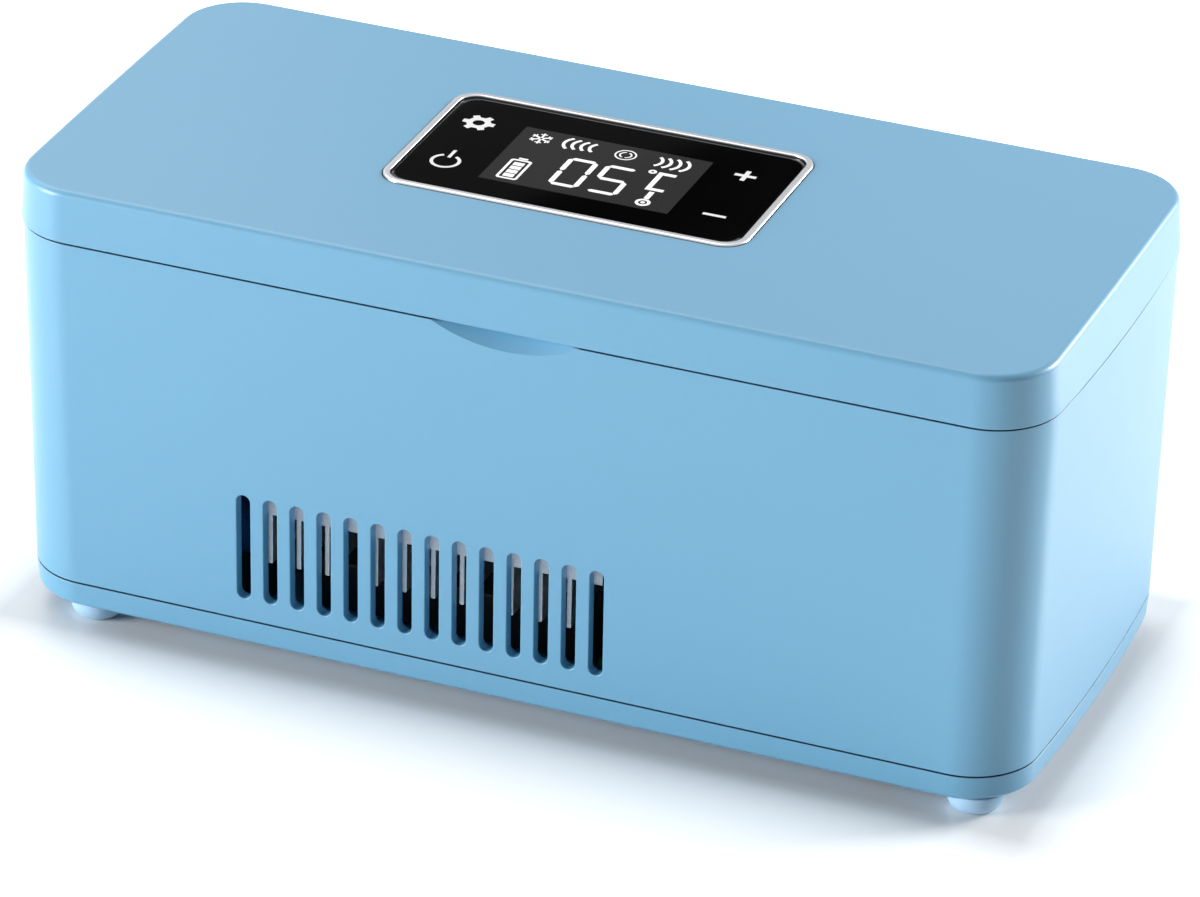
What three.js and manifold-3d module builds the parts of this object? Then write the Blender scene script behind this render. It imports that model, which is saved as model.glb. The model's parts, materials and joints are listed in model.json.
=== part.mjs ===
// Insulin cooling case: a box with a hinged lid and an aluminium chamber for pens.
// A Peltier module cools the chamber from below; a fan blows air through the heat sink's fins.
// Millimetres, +Z up, the front faces -Y. The origin is under the middle, at the feet's level.
import * as THREE from "three";
import { mergeVertices } from "three/addons/utils/BufferGeometryUtils.js";
import Module from "manifold-3d";

const wasm = await Module();
wasm.setup();

// Overall form
const caseLength = 200; // over the corners of the lid's lower edge
const caseDepth = 92;
const bodyHeight = 76.4; // underside of the base to the lid's parting line
const lidHeight = 10.8;
const bandHeight = 5.1; // the base's rim
const footHeight = 4;
const cornerRadius = 12.2;
const endBow = 2; // how far the short ends swell at the parting line
const topEndBow = 0.15;
const lidTopInset = 0.1; // the lid leans in this much by its top
const bodyInset = 0.3; // the body stands this far inside the lid's edge
const bodyTaper = 0.97; // per side, from the parting line to the band
const bottomInset = 0.3;
const bottomChamfer = 0.8;
const topFillet = 1.3;
const wall = 2.2;
const partingGap = 0.3;

// General clearances
const fitGap = 0.3;
const seatGap = 0.1;
const overrun = 1; // how far a cutter passes the face it opens
const weld = 0.5; // how far joined features sink into each other

// Hinge along the rear face, at the parting line
const knuckleRadius = 2.6;
const knuckleLength = 8;
const knuckleReach = 0.3 * caseLength; // middle of a pin hinge from the case's middle
const knuckleWall = 1.6;
const hingePinRadius = knuckleRadius - knuckleWall;
const cableKnuckleX = 0.17 * caseLength;
const cableBore = 1.35;
const cableRadius = 0.8;
const cableBend = 1.5;
const cableElbowReach = 5;
const cableEntry = 5.4; // how far the elbow runs inwards, and as far up or down
const cableDrop = 4.9;
const cableRoom = 0.6;
const knuckleGap = 0.4;

// Finger scoop in the body's front edge
const scoopWidth = 29.4;
const scoopDrop = 3.6;
const scoopDepth = 3.4;
const scoopWall = 1.6;

// Heat removal, all centred on one line across the case
const thermalX = -0.084 * caseLength;
const slotCount = 14;
const slotPitch = 0.027065 * caseLength;
const slotWidth = 2.75;
const slotBottom = 9.84; // above the underside of the base
const slotHeight = 21.9;
const fanSideRoom = 16; // from the case's front to the fan
const fanSide = caseDepth - 2 * fanSideRoom;
const heatSinkReach = 5; // beyond the fan, at each end
const heatSinkLength = fanSide + 2 * heatSinkReach;
const heatSinkPlate = 5;
const heatSinkTop = 31.8; // above the underside of the base
const heatSinkWallGap = 1.2;
const finHeight = 10.2;
const finThickness = 1;
const finGroups = [3, 4, 3];
const finRim = 4.625; // bare plate beyond the outer fins
const finChannelExtra = 4; // the fins stand this much further apart where the clamp screws pass
const finSteps = finGroups.reduce((sum, count) => sum + count) - 1;
const finRun = heatSinkLength - 2 * finRim - finThickness - finChannelExtra * (finGroups.length - 1);
const finPitch = finRun / finSteps;
const finChannel = finPitch + finChannelExtra;
const finShift = -1.4;
const peltierSide = 40;
const peltierThickness = 3.8;
const coldBlockRim = 2; // beyond the Peltier module, at its ends
const coldBlockLength = peltierSide + 2 * coldBlockRim;
const clampScrewReach = 4.5; // beyond the Peltier module, front and rear
const clampScrewSpacing = peltierSide + 2 * clampScrewReach;
const coldBlockDepth = clampScrewSpacing + 2 * clampScrewReach;
const clampScrewRadius = 1.5;
const clampScrewBite = 7; // thread length in the cold block
const clampScrewHeadRadius = 2.7;
const clampScrewHead = 1.8;
const coldBlockRadius = 2;
const fanThickness = 10;
const fanLift = 3; // above the underside of the base
const fanRim = 1.5;
const fanBore = fanSide - 2 * fanRim;
const fanHubRadius = 14;
const fanScrewInset = 5;
const fanScrewSpacing = fanSide - 2 * fanScrewInset;
const fanScrewRadius = 1.4;
const fanShaftRadius = 1.5;
const fanBladeCount = 7;
const fanCorner = 3;
const fanSpoke = 3;
const fanPlate = 1.8;
const fanRunningGap = 0.8;
const fanScrewHeadRadius = 2.6;
const fanScrewHead = 1.6;
const fanScrewBite = 2.2;
const bladeThickness = 2;
const bladeTurn = 0.42; // radians from the foot of a blade to its top
const bladeSweep = 0.25;
const bladeCurveShare = 0.3;
const fanLeadReach = 1.6;
const intakePitch = 5.6;
const intakeWidth = 3;

// Chamber, its deck and the insulation
const chamberEndRoom = 13; // from the case's end to the inside of the chamber
const chamberSideRoom = 20;
const chamberLength = caseLength - 2 * chamberEndRoom;
const chamberDepth = caseDepth - 2 * chamberSideRoom;
const chamberRadius = 8;
const chamberWall = 1.2;
const chamberFloor = 46.8; // underside of the chamber above the underside of the base
const chamberFlange = 4;
const deckDrop = 1.6; // deck's upper face below the parting line
const deckThickness = 2.6;
const deckLugPlaces = [-0.39, -0.15, 0.11, 0.39].map((share) => share * caseLength);
const lugReach = 3.2;
const lugHeight = 6;
const lugThickness = 2;
const plugRoom = 3; // between the plug and the chamber's wall
const plugLength = chamberLength - 2 * plugRoom;
const plugDepth = chamberDepth - 2 * plugRoom;
const plugDrop = 5; // below the parting line
const plugWall = 1.6;
const panelSheet = 1.6; // flange of the lid's inner panel
const plugRadius = 6;
const gasketWidth = 5;
const gasketInset = 0.6; // from the chamber's mouth

// Control panel on the lid
const bezelLength = 72;
const bezelDepth = 42;
const bezelRadius = 5;
const bezelWidth = 1.4;
const bezelProud = 0.4;
const bezelX = -2.1;
const bezelY = 3.6;
const panelPocket = 1.25; // depth of the recess that holds bezel and glass
const panelFit = 0.15;
const panelLedge = 3;
const openingRadius = 3;
const glassThickness = 1.1;
const lcdEndInset = 15; // from the bezel's ends
const lcdSideInset = 7.25;
const lcdLength = bezelLength - 2 * lcdEndInset;
const lcdDepth = bezelDepth - 2 * lcdSideInset;
const lcdThickness = 2;
const lcdX = -2.6;
const lcdY = 3.4;
const displayBoardEndInset = 2;
const displayBoardSideInset = 1.5;
const displayBoardLength = bezelLength - 2 * displayBoardEndInset;
const displayBoardDepth = bezelDepth - 2 * displayBoardSideInset;
const displayBoardThickness = 1.2;
const touchSpringRadius = 2.6;
const leftKeyInset = 8.5; // from the bezel's edge
const rightKeyInset = 10;
const upperKeyInset = 12.1;
const lowerKeyInset = 12.5;
const leftKeyReach = bezelLength / 2 - leftKeyInset; // from the panel's middle
const rightKeyReach = bezelLength / 2 - rightKeyInset;
const upperKeyReach = bezelDepth / 2 - upperKeyInset;
const lowerKeyReach = bezelDepth / 2 - lowerKeyInset;

// Fasteners, magnets and feet
const lidScrewEndInset = 12;
const lidScrewSideInset = 13;
const lidScrewX = caseLength / 2 - lidScrewEndInset;
const lidScrewY = caseDepth / 2 - lidScrewSideInset;
const lidScrewRadius = 1.25;
const lidScrewHeadRadius = 2.5;
const lidScrewHead = 1.1;
const lidScrewLength = 6;
const baseScrewSideInset = 8.8;
const baseScrewEndInset = 28;
const baseScrewX = caseLength / 2 - baseScrewEndInset;
const baseScrewY = caseDepth / 2 - baseScrewSideInset;
const baseScrewRadius = 1.5;
const baseScrewHeadRadius = 2.8;
const baseScrewHead = 1.8;
const baseScrewLength = 12;
const baseScrewRecess = 2.1;
const bossWall = 1.9;
const baseBossRise = 2; // boss above the screw's seat
const lipHeight = 2; // inner lip that closes the seam behind the parting line
const lipWall = 1.2;
const pegRadius = 1;
const pegShoulder = 1.1;
const headTopShare = 0.75;
const magnetRadius = 3;
const magnetThickness = 2.5;
const magnetInset = 9.5; // from the case's front
const magnetX = 0.3 * caseLength;
const magnetY = magnetInset - caseDepth / 2;
const cupWall = 1.2;
const footRadius = 5.2;
const footFlatRadius = 2.8;
const footStemRadius = 2;
const footStemLength = 3.2;
const footSideInset = 8.2;
const footLeftInset = 14.7;
const footRightInset = 10;
const footY = caseDepth / 2 - footSideInset;
const footLeftX = footLeftInset - caseLength / 2;
const footRightX = caseLength / 2 - footRightInset;
const footDomeShare = 0.6;

// Electronics and battery
const mainBoardGap = 3.4; // from the fan
const mainBoardSideRoom = 7;
const mainBoardLeft = thermalX + fanSide / 2 + mainBoardGap;
const mainBoardEndRoom = 34; // from the case's right end
const mainBoardRight = caseLength / 2 - mainBoardEndRoom;
const mainBoardLength = mainBoardRight - mainBoardLeft;
const mainBoardDepth = caseDepth - 2 * mainBoardSideRoom;
const mainBoardThickness = 1.6;
const mainBoardTop = 9.6; // above the underside of the base
const jackInset = 8; // from the board's right edge
const jackX = mainBoardRight - jackInset;
const jackWidth = 9;
const jackHeight = 11;
const jackLength = 14;
const jackBore = 3.1;
const jackPinRadius = 1;
const jackCollar = 4.2;
const jackBoreDepth = 9.5;
const holderEndRoom = 6; // from the case's left end
const holderFanGap = 6.2;
const holderWall = 1.5;
const holderLength = caseLength / 2 - holderEndRoom - holderFanGap + thermalX - fanSide / 2;
const cellX = (holderLength - caseLength) / 2 + holderEndRoom; // middle of the battery
const cellSpacing = 0.6; // between the two cells
const cellPitch = holderLength / 2 - holderWall;
const cellRadius = (cellPitch - cellSpacing) / 2;
const cellEndRoom = 13.5;
const cellLength = caseDepth - 2 * cellEndRoom;
const cellCapRadius = 2.8;
const cellCap = 0.8;
const leadRadius = 1.1;
const leadBend = 2.6;
const batteryLeadReach = 5;
const sensorInset = 16; // from the board's right edge
const sensorX = mainBoardRight - sensorInset;
const sensorRadius = 1.6;
const sensorLength = 9;
const socketLength = 6;
const socketDepth = 5;
const socketHeight = 5;
const socketInset = 3.4; // from the board's left edge
const batterySocketInset = 4; // from the board's rear edge
const batterySocketY = mainBoardDepth / 2 - batterySocketInset;
const fanSocketY = 12;
const peltierSocketY = -8;
const displaySocketInset = 5.5;
const displaySocketY = mainBoardDepth / 2 - displaySocketInset;
const inductorSide = 12;
const inductorHeight = 6;
const controllerSide = 10;
const controllerHeight = 1.6;
const capacitorSide = 8;
const capacitorHeight = 11;
const inductorShares = [0.48, 0.25]; // places across the board, from its left front corner
const controllerShares = [0.52, 0.58];
const capacitorShares = [0.84, 0.38];
const boardPegInset = 4.5;
const boardPegSpacing = 48; // front to rear

// Fineness of round faces
const cornerSteps = 5;
const endSteps = 4;
const smallSides = 10;
const screwSides = 8;
const roundSides = 16;
const largeSides = 24;
const footSides = 12;
const footDomeSteps = 3;
const slotEndSteps = 2;
const scoopSides = 64;
const filletSteps = 3;
const leadSides = 8;
const bendSteps = 3;
const bladeSteps = 4;

// Levels and places worked out from the sizes above
const baseZ = footHeight;
const bandZ = baseZ + bandHeight;
const seamZ = baseZ + bodyHeight;
const topZ = seamZ + lidHeight;
const lidZ = seamZ + partingGap;
const rearY = caseDepth / 2;
const frontY = -rearY;
const deckTopZ = seamZ - deckDrop;
const deckZ = deckTopZ - deckThickness;
const lidCeilingZ = topZ - wall;
const innerPanelZ = lidZ + seatGap;
const innerPanelTopZ = innerPanelZ + panelSheet;
const plugZ = seamZ - plugDrop;
const heatSinkTopZ = baseZ + heatSinkTop;
const heatSinkPlateZ = heatSinkTopZ - heatSinkPlate;
const finTipZ = heatSinkPlateZ - finHeight;
const peltierZ = heatSinkTopZ + seatGap;
const coldBlockZ = peltierZ + peltierThickness + seatGap;
const chamberZ = baseZ + chamberFloor;
const coldBlockHeight = chamberZ - seatGap - coldBlockZ;
const fanZ = baseZ + fanLift;
const mainBoardTopZ = baseZ + mainBoardTop;
const mainBoardZ = mainBoardTopZ - mainBoardThickness;
const floorZ = baseZ + wall;
const slotMiddleZ = baseZ + slotBottom + slotHeight / 2;
const glassZ = topZ - panelPocket + seatGap / 2;
const lcdZ = glassZ - seatGap - lcdThickness;
const displayBoardTopZ = lcdZ - seatGap;
const displayBoardZ = displayBoardTopZ - displayBoardThickness;
const clampScrewX = (finPitch * (finGroups[1] - 1) + finChannel) / 2;
const clampScrewLength = heatSinkPlate + peltierThickness + clampScrewBite;
const baseBossTopZ = baseZ + baseScrewRecess + baseBossRise;
const insulationZ = heatSinkTopZ + fitGap;
const sensorY = chamberDepth / 2 + chamberWall + fitGap + sensorRadius;
const sensorTopZ = deckZ - sensorLength;
const jackRearY = bodyHalfDepth(mainBoardTopZ) - wall - fitGap;
const quarters = (x, y) => [[-x, -y], [-x, y], [x, -y], [x, y]];
const clampScrewPlaces = quarters(clampScrewX, clampScrewSpacing / 2)
  .map(([x, y]) => [x + thermalX + finShift, y]);
const fanScrewPlaces = quarters(fanScrewSpacing / 2, fanScrewSpacing / 2).map(([x, y]) => [x + thermalX, y]);
const lidScrewPlaces = quarters(lidScrewX, lidScrewY);
const baseScrewPlaces = quarters(baseScrewX, baseScrewY);
const mainBoardX = (mainBoardLeft + mainBoardRight) / 2;
const boardPegPlaces = quarters(mainBoardLength / 2 - boardPegInset, boardPegSpacing / 2)
  .map(([x, y]) => [x + mainBoardX, y]);
const sockets = {
  battery: { x: mainBoardLeft + socketInset + socketLength / 2, y: batterySocketY },
  fan: { x: mainBoardLeft + socketInset + socketLength / 2, y: fanSocketY },
  peltier: { x: mainBoardLeft + socketInset + socketLength / 2, y: peltierSocketY },
  display: { x: cableKnuckleX + cableElbowReach, y: displaySocketY },
  sensor: { x: sensorX, y: sensorY },
};
const socketTopZ = mainBoardTopZ + socketHeight;
const socketMiddleZ = mainBoardTopZ + socketHeight / 2;
const lidCableX = cableKnuckleX - cableElbowReach;
const caseCableX = cableKnuckleX + cableElbowReach;
const footPlaces = [
  { name: "foot_front_left", x: footLeftX, y: -footY },
  { name: "foot_rear_left", x: footLeftX, y: footY },
  { name: "foot_front_right", x: footRightX, y: -footY },
  { name: "foot_rear_right", x: footRightX, y: footY },
];

// Materials
const finish = (color, roughness, metalness = 0) =>
  new THREE.MeshStandardMaterial({ color, roughness, metalness });
const bluePlastic = finish(0x82b6d9, 0.35);
const whitePlastic = finish(0xe9edf0, 0.5);
const blackPlastic = finish(0x17181a, 0.5);
const blackGlass = finish(0x050506, 0.08);
const silver = finish(0xc6c9cc, 0.3, 1);
const aluminium = finish(0xb4b8bb, 0.4, 1);
const steel = finish(0x9a9da1, 0.35, 1);
const foam = finish(0xf0f0ec, 0.9);
const siliconeRubber = finish(0x50555b, 0.8);
const paleRubber = finish(0xa9d2ec, 0.6);
const boardGreen = finish(0x1d5a3a, 0.55);
const ceramicWhite = finish(0xe8e8e4, 0.5);
const cellWrap = finish(0x2f6fb5, 0.4);
const lcdGrey = finish(0x2c2e31, 0.3);
const cableGrey = finish(0x3a3c40, 0.6);

// Turns a closed geometry into a solid that can be joined and cut.
function solidOf(geometry) {
  const plain = geometry.clone();
  plain.deleteAttribute("normal");
  plain.deleteAttribute("uv");
  const merged = mergeVertices(plain);
  return new wasm.Manifold(
    new wasm.Mesh({
      numProp: 3,
      vertProperties: merged.attributes.position.array,
      triVerts: new Uint32Array(merged.index.array),
    }),
  );
}

function geometryOf(solid) {
  const mesh = solid.getMesh();
  const geometry = new THREE.BufferGeometry();
  geometry.setAttribute("position", new THREE.BufferAttribute(mesh.vertProperties, 3));
  geometry.setIndex(new THREE.BufferAttribute(mesh.triVerts, 1));
  return geometry;
}

function join(...pieces) {
  return geometryOf(pieces.map(solidOf).reduce((a, b) => a.add(b)));
}

function cut(base, ...tools) {
  return geometryOf(tools.map(solidOf).reduce((a, b) => a.subtract(b), solidOf(base)));
}

function common(a, b) {
  return geometryOf(solidOf(a).intersect(solidOf(b)));
}

function block(sizeX, sizeY, sizeZ, x, y, z) {
  return new THREE.BoxGeometry(sizeX, sizeY, sizeZ).translate(x, y, z + sizeZ / 2);
}

// A block between two corners.
function span(x0, x1, y0, y1, z0, z1) {
  return block(x1 - x0, y1 - y0, z1 - z0, (x0 + x1) / 2, (y0 + y1) / 2, z0);
}

function postZ(radius, x, y, z0, z1, sides = smallSides) {
  return new THREE.CylinderGeometry(radius, radius, z1 - z0, sides)
    .rotateX(Math.PI / 2)
    .translate(x, y, (z0 + z1) / 2);
}

function barX(radius, x0, x1, y, z, sides = smallSides) {
  return new THREE.CylinderGeometry(radius, radius, x1 - x0, sides)
    .rotateZ(Math.PI / 2)
    .translate((x0 + x1) / 2, y, z);
}

// A round bar from one point to another.
function barBetween(radius, from, to, sides = smallSides) {
  const way = new THREE.Vector3().subVectors(to, from);
  const turn = new THREE.Quaternion().setFromUnitVectors(
    new THREE.Vector3(0, 1, 0),
    way.clone().normalize(),
  );
  const middle = from.clone().addScaledVector(way, 0.5);
  return new THREE.CylinderGeometry(radius, radius, way.length(), sides)
    .applyQuaternion(turn)
    .translate(middle.x, middle.y, middle.z);
}

// Plan outline: a rectangle with round corners whose short ends swell by bow.
function planOutline(halfLength, halfDepth, radius, bow) {
  const points = [];
  const steps = bow ? endSteps : 1;
  const corners = [[1, 1], [-1, 1], [-1, -1], [1, -1]];
  corners.forEach(([sx, sy], corner) => {
    const cx = sx * (halfLength - radius);
    const cy = sy * (halfDepth - radius);
    for (let i = 0; i <= cornerSteps; i++) {
      const angle = ((corner + i / cornerSteps) * Math.PI) / 2;
      points.push([cx + radius * Math.cos(angle), cy + radius * Math.sin(angle)]);
    }
    if (sx * sy < 0)
      for (let i = 1; i < steps; i++)
        points.push([sx * halfLength, cy * (1 - (2 * i) / steps)]);
  });
  return points.map(([x, y]) => [x + ((bow * x) / halfLength) * (1 - (y / halfDepth) ** 2), y]);
}

// A closed solid through outlines of equal point count, lowest first.
function loft(levels) {
  const count = levels[0].outline.length;
  const positions = levels.flatMap(({ outline, z }) => outline.flatMap(([x, y]) => [x, y, z]));
  const index = [];
  for (let level = 0; level + 1 < levels.length; level++)
    for (let i = 0; i < count; i++) {
      const a = level * count + i;
      const b = level * count + ((i + 1) % count);
      index.push(a, b, b + count, a, b + count, a + count);
    }
  for (const [level, flip] of [[0, true], [levels.length - 1, false]]) {
    const { outline, z } = levels[level];
    const middle = positions.length / 3;
    positions.push(
      outline.reduce((sum, p) => sum + p[0], 0) / count,
      outline.reduce((sum, p) => sum + p[1], 0) / count,
      z,
    );
    for (let i = 0; i < count; i++) {
      const a = level * count + i;
      const b = level * count + ((i + 1) % count);
      index.push(middle, ...(flip ? [b, a] : [a, b]));
    }
  }
  const geometry = new THREE.BufferGeometry();
  geometry.setAttribute("position", new THREE.Float32BufferAttribute(positions, 3));
  geometry.setIndex(index);
  return geometry;
}

// An upright plate with round corners.
function roundPlate(length, depth, radius, x, y, z0, z1) {
  const outline = planOutline(length / 2, depth / 2, radius, 0).map(([px, py]) => [px + x, py + y]);
  return loft([{ outline, z: z0 }, { outline, z: z1 }]);
}

// How far the body stands inside the lid's edge at a level.
function bodyReach(z) {
  if (z >= bandZ) return bodyInset + ((seamZ - z) / (seamZ - bandZ)) * bodyTaper;
  return bodyInset + bodyTaper + ((bandZ - z) / bandHeight) * bottomInset;
}

function bodyHalfDepth(z) {
  return caseDepth / 2 - bodyReach(z);
}

// The body's outline at a level, moved inwards by inset.
function bodyOutline(z, inset = 0) {
  const reach = bodyReach(z) + inset;
  return planOutline(caseLength / 2 - reach, caseDepth / 2 - reach, cornerRadius - inset, endBow);
}

function bodyLoft(z0, z1, inset) {
  return loft([{ outline: bodyOutline(z0, inset), z: z0 }, { outline: bodyOutline(z1, inset), z: z1 }]);
}

// The lid's outline at a level, moved inwards by inset.
function lidOutline(z, inset = 0) {
  const share = (z - seamZ) / lidHeight;
  const reach = lidTopInset * share + inset;
  const bow = THREE.MathUtils.lerp(endBow, topEndBow, share);
  return planOutline(caseLength / 2 - reach, caseDepth / 2 - reach, cornerRadius - inset, bow);
}

// A path known by its stops: a straight run takes one step, a bend takes a few.
class LeadPath extends THREE.Curve {
  constructor(stops) {
    super();
    this.stops = stops;
  }

  stopAt(share) {
    return Math.round(share * (this.stops.length - 1));
  }

  getPointAt(share) {
    return this.stops[this.stopAt(share)].clone();
  }

  getTangentAt(share) {
    const i = this.stopAt(share);
    const before = this.stops[Math.max(i - 1, 0)];
    const after = this.stops[Math.min(i + 1, this.stops.length - 1)];
    return after.clone().sub(before).normalize();
  }
}

// A round lead through the given points, bent smoothly at each point between its ends.
function lead(points, radius, bend) {
  const stops = [points[0]];
  for (let i = 1; i + 1 < points.length; i++) {
    const into = points[i].clone().sub(points[i - 1]).normalize();
    const out = points[i + 1].clone().sub(points[i]).normalize();
    const reach = bend * Math.tan(into.angleTo(out) / 2);
    const start = points[i].clone().addScaledVector(into, -reach);
    const end = points[i].clone().addScaledVector(out, reach);
    stops.push(...new THREE.QuadraticBezierCurve3(start, points[i], end).getPoints(bendSteps));
  }
  stops.push(points[points.length - 1]);
  const section = new THREE.Shape();
  for (let i = 0; i < leadSides; i++) {
    const angle = (i / leadSides) * 2 * Math.PI;
    const place = [radius * Math.cos(angle), radius * Math.sin(angle)];
    if (i) section.lineTo(...place);
    else section.moveTo(...place);
  }
  section.closePath();
  return new THREE.ExtrudeGeometry(section, {
    steps: stops.length - 1,
    bevelEnabled: false,
    extrudePath: new LeadPath(stops),
  });
}

// Body, base and feet
function knuckle(x) {
  return barX(knuckleRadius, x - knuckleLength / 2, x + knuckleLength / 2, rearY, seamZ, roundSides);
}

function knuckleRelief(x) {
  const half = knuckleLength / 2 + knuckleGap;
  return barX(knuckleRadius + fitGap, x - half, x + half, rearY, seamZ, roundSides);
}

const knuckleStep = knuckleLength + knuckleGap;
const pinHinges = [-knuckleReach, knuckleReach];
const bodyKnuckles = [
  ...pinHinges.flatMap((x) => [x - knuckleStep, x + knuckleStep]),
  cableKnuckleX + knuckleStep / 2,
];
const lidKnuckles = [...pinHinges, cableKnuckleX - knuckleStep / 2];

function hingePinBores() {
  const half = knuckleLength / 2 + knuckleStep + overrun;
  return pinHinges.map((x) => barX(hingePinRadius + fitGap, x - half, x + half, rearY, seamZ));
}

// The elbow that leads the display cable into a hollow knuckle; up is 1 in the lid, -1 in the body.
function cableElbow(up) {
  const elbowX = up > 0 ? lidCableX : caseCableX;
  const mouthX = cableKnuckleX + up * overrun;
  const bore = barX(cableBore, Math.min(elbowX, mouthX) - (up > 0 ? cableBore : 0),
    Math.max(elbowX, mouthX) + (up > 0 ? 0 : cableBore), rearY, seamZ);
  const axis = new THREE.Vector3(elbowX, rearY, seamZ);
  const inside = new THREE.Vector3(elbowX, rearY - cableEntry, seamZ + up * cableEntry);
  return [bore, barBetween(cableBore, axis, inside)];
}

function cableChannel() {
  const half = cableRadius + cableRoom;
  return span(caseCableX - half, caseCableX + half, rearY - cableDrop - half, rearY,
    heatSinkTopZ, seamZ - cableDrop / 2);
}

function slotCutter(length, width, thickness) {
  const run = (length - width) / 2;
  const shape = new THREE.Shape();
  shape.absarc(-run, 0, width / 2, Math.PI / 2, 1.5 * Math.PI);
  shape.absarc(run, 0, width / 2, -Math.PI / 2, Math.PI / 2);
  return new THREE.ExtrudeGeometry(shape, {
    depth: thickness,
    bevelEnabled: false,
    curveSegments: slotEndSteps,
  }).translate(0, 0, -thickness / 2);
}

function ventSlots() {
  const slots = [];
  for (let i = 0; i < slotCount; i++)
    slots.push(
      slotCutter(slotHeight, slotWidth, caseDepth + overrun)
        .rotateY(Math.PI / 2)
        .rotateZ(Math.PI / 2)
        .translate(thermalX + (i - (slotCount - 1) / 2) * slotPitch, 0, slotMiddleZ),
    );
  return slots;
}

// The sphere that hollows the finger scoop; grow thickens it.
function scoopBall(grow) {
  const halfWidth = scoopWidth / 2;
  const faceRadius = (halfWidth ** 2 + scoopDrop ** 2) / (2 * scoopDrop);
  const stand = (halfWidth ** 2 - scoopDepth ** 2) / (2 * scoopDepth);
  const radius = Math.hypot(faceRadius, stand) + grow;
  return new THREE.SphereGeometry(radius, scoopSides, scoopSides / 2)
    .translate(0, frontY + bodyInset - stand, seamZ + faceRadius - scoopDrop);
}

function scoopCup() {
  const half = scoopWidth / 2 + scoopWall;
  const room = span(-half, half, frontY + wall / 2, frontY + wall + scoopDepth + scoopWall,
    seamZ - scoopDrop - scoopWall, seamZ);
  return common(scoopBall(scoopWall), room);
}

// Small brackets on the long walls that carry the deck.
function deckLugs(grow) {
  const lugs = [];
  for (const x of deckLugPlaces)
    for (const side of [1, -1]) {
      const shape = new THREE.Shape();
      shape.moveTo(0, 0);
      shape.lineTo(lugReach + grow, 0);
      shape.lineTo(weld - wall / 2, -lugHeight - grow);
      shape.lineTo(weld - wall / 2, 0);
      shape.closePath();
      const lug = new THREE.ExtrudeGeometry(shape, { depth: lugThickness + 2 * grow, bevelEnabled: false })
        .translate(0, 0, -lugThickness / 2 - grow)
        .rotateX(Math.PI / 2)
        .rotateZ(side * Math.PI / 2)
        .translate(x, -side * (bodyHalfDepth(deckZ) - wall), deckZ - seatGap);
      lugs.push(lug);
    }
  return lugs;
}

function bodyBosses() {
  const z0 = baseBossTopZ + seatGap;
  const z1 = z0 + baseScrewLength + weld;
  return baseScrewPlaces.flatMap(([x, y]) => {
    const wallY = Math.sign(y) * (bodyHalfDepth(bandZ) - wall / 2);
    const web = span(x - bossWall / 2, x + bossWall / 2, Math.min(y, wallY), Math.max(y, wallY),
      bandZ + lipHeight + fitGap, z1);
    return [postZ(baseScrewRadius + bossWall, x, y, z0, z1), web];
  });
}

function bodyShell() {
  const z0 = bandZ + partingGap;
  const walls = cut(bodyLoft(z0, seamZ, 0), bodyLoft(z0 - overrun, seamZ + overrun, wall),
    ...lidKnuckles.map(knuckleRelief));
  const joined = join(walls, scoopCup(), ...deckLugs(0), ...bodyBosses(), ...bodyKnuckles.map(knuckle));
  const pilots = baseScrewPlaces.map(([x, y]) =>
    postZ(baseScrewRadius + fitGap, x, y, bandZ - overrun, baseBossTopZ + baseScrewLength));
  return cut(joined, scoopBall(0), ...ventSlots(), ...pilots, ...hingePinBores(), ...cableElbow(-1),
    jackMouth(jackCollar + fitGap));
}

function basePlate() {
  const lip = wall + fitGap;
  const band = loft([
    { outline: bodyOutline(baseZ, bottomChamfer), z: baseZ },
    { outline: bodyOutline(baseZ + bottomChamfer), z: baseZ + bottomChamfer },
    { outline: bodyOutline(bandZ), z: bandZ },
  ]);
  const tray = join(band, bodyLoft(bandZ - weld, bandZ + lipHeight, lip));
  const open = cut(tray, bodyLoft(floorZ, bandZ + lipHeight + overrun, lip + lipWall),
    ...baseScrewPlaces.map(([x, y]) =>
      postZ(baseScrewRadius + bossWall + fitGap, x, y, baseBossTopZ, bandZ + lipHeight + overrun)));
  const bosses = baseScrewPlaces.map(([x, y]) =>
    postZ(baseScrewHeadRadius + bossWall, x, y, baseZ, baseBossTopZ));
  const fanPosts = fanScrewPlaces.map(([x, y]) =>
    postZ(fanScrewRadius + bossWall, x, y, baseZ, fanZ - seatGap));
  const pegs = boardPegPlaces.flatMap(([x, y]) => [
    postZ(pegRadius + pegShoulder, x, y, baseZ, mainBoardZ - seatGap),
    postZ(pegRadius, x, y, mainBoardZ - weld, mainBoardTopZ + pegRadius),
  ]);
  const joined = join(open, ...bosses, ...fanPosts, ...pegs);
  const recesses = baseScrewPlaces.flatMap(([x, y]) => [
    postZ(baseScrewHeadRadius + fitGap, x, y, baseZ - overrun, baseZ + baseScrewRecess),
    postZ(baseScrewRadius + fitGap, x, y, baseZ, baseBossTopZ + overrun),
  ]);
  const stems = footPlaces.map(({ x, y }) =>
    postZ(footStemRadius + fitGap, x, y, baseZ - overrun, floorZ + overrun));
  const pilots = fanScrewPlaces.map(([x, y]) => postZ(fanScrewRadius + fitGap, x, y, baseZ + fitGap, fanZ));
  return cut(joined, ...recesses, ...stems, ...pilots, ...intakeSlots());
}

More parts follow.
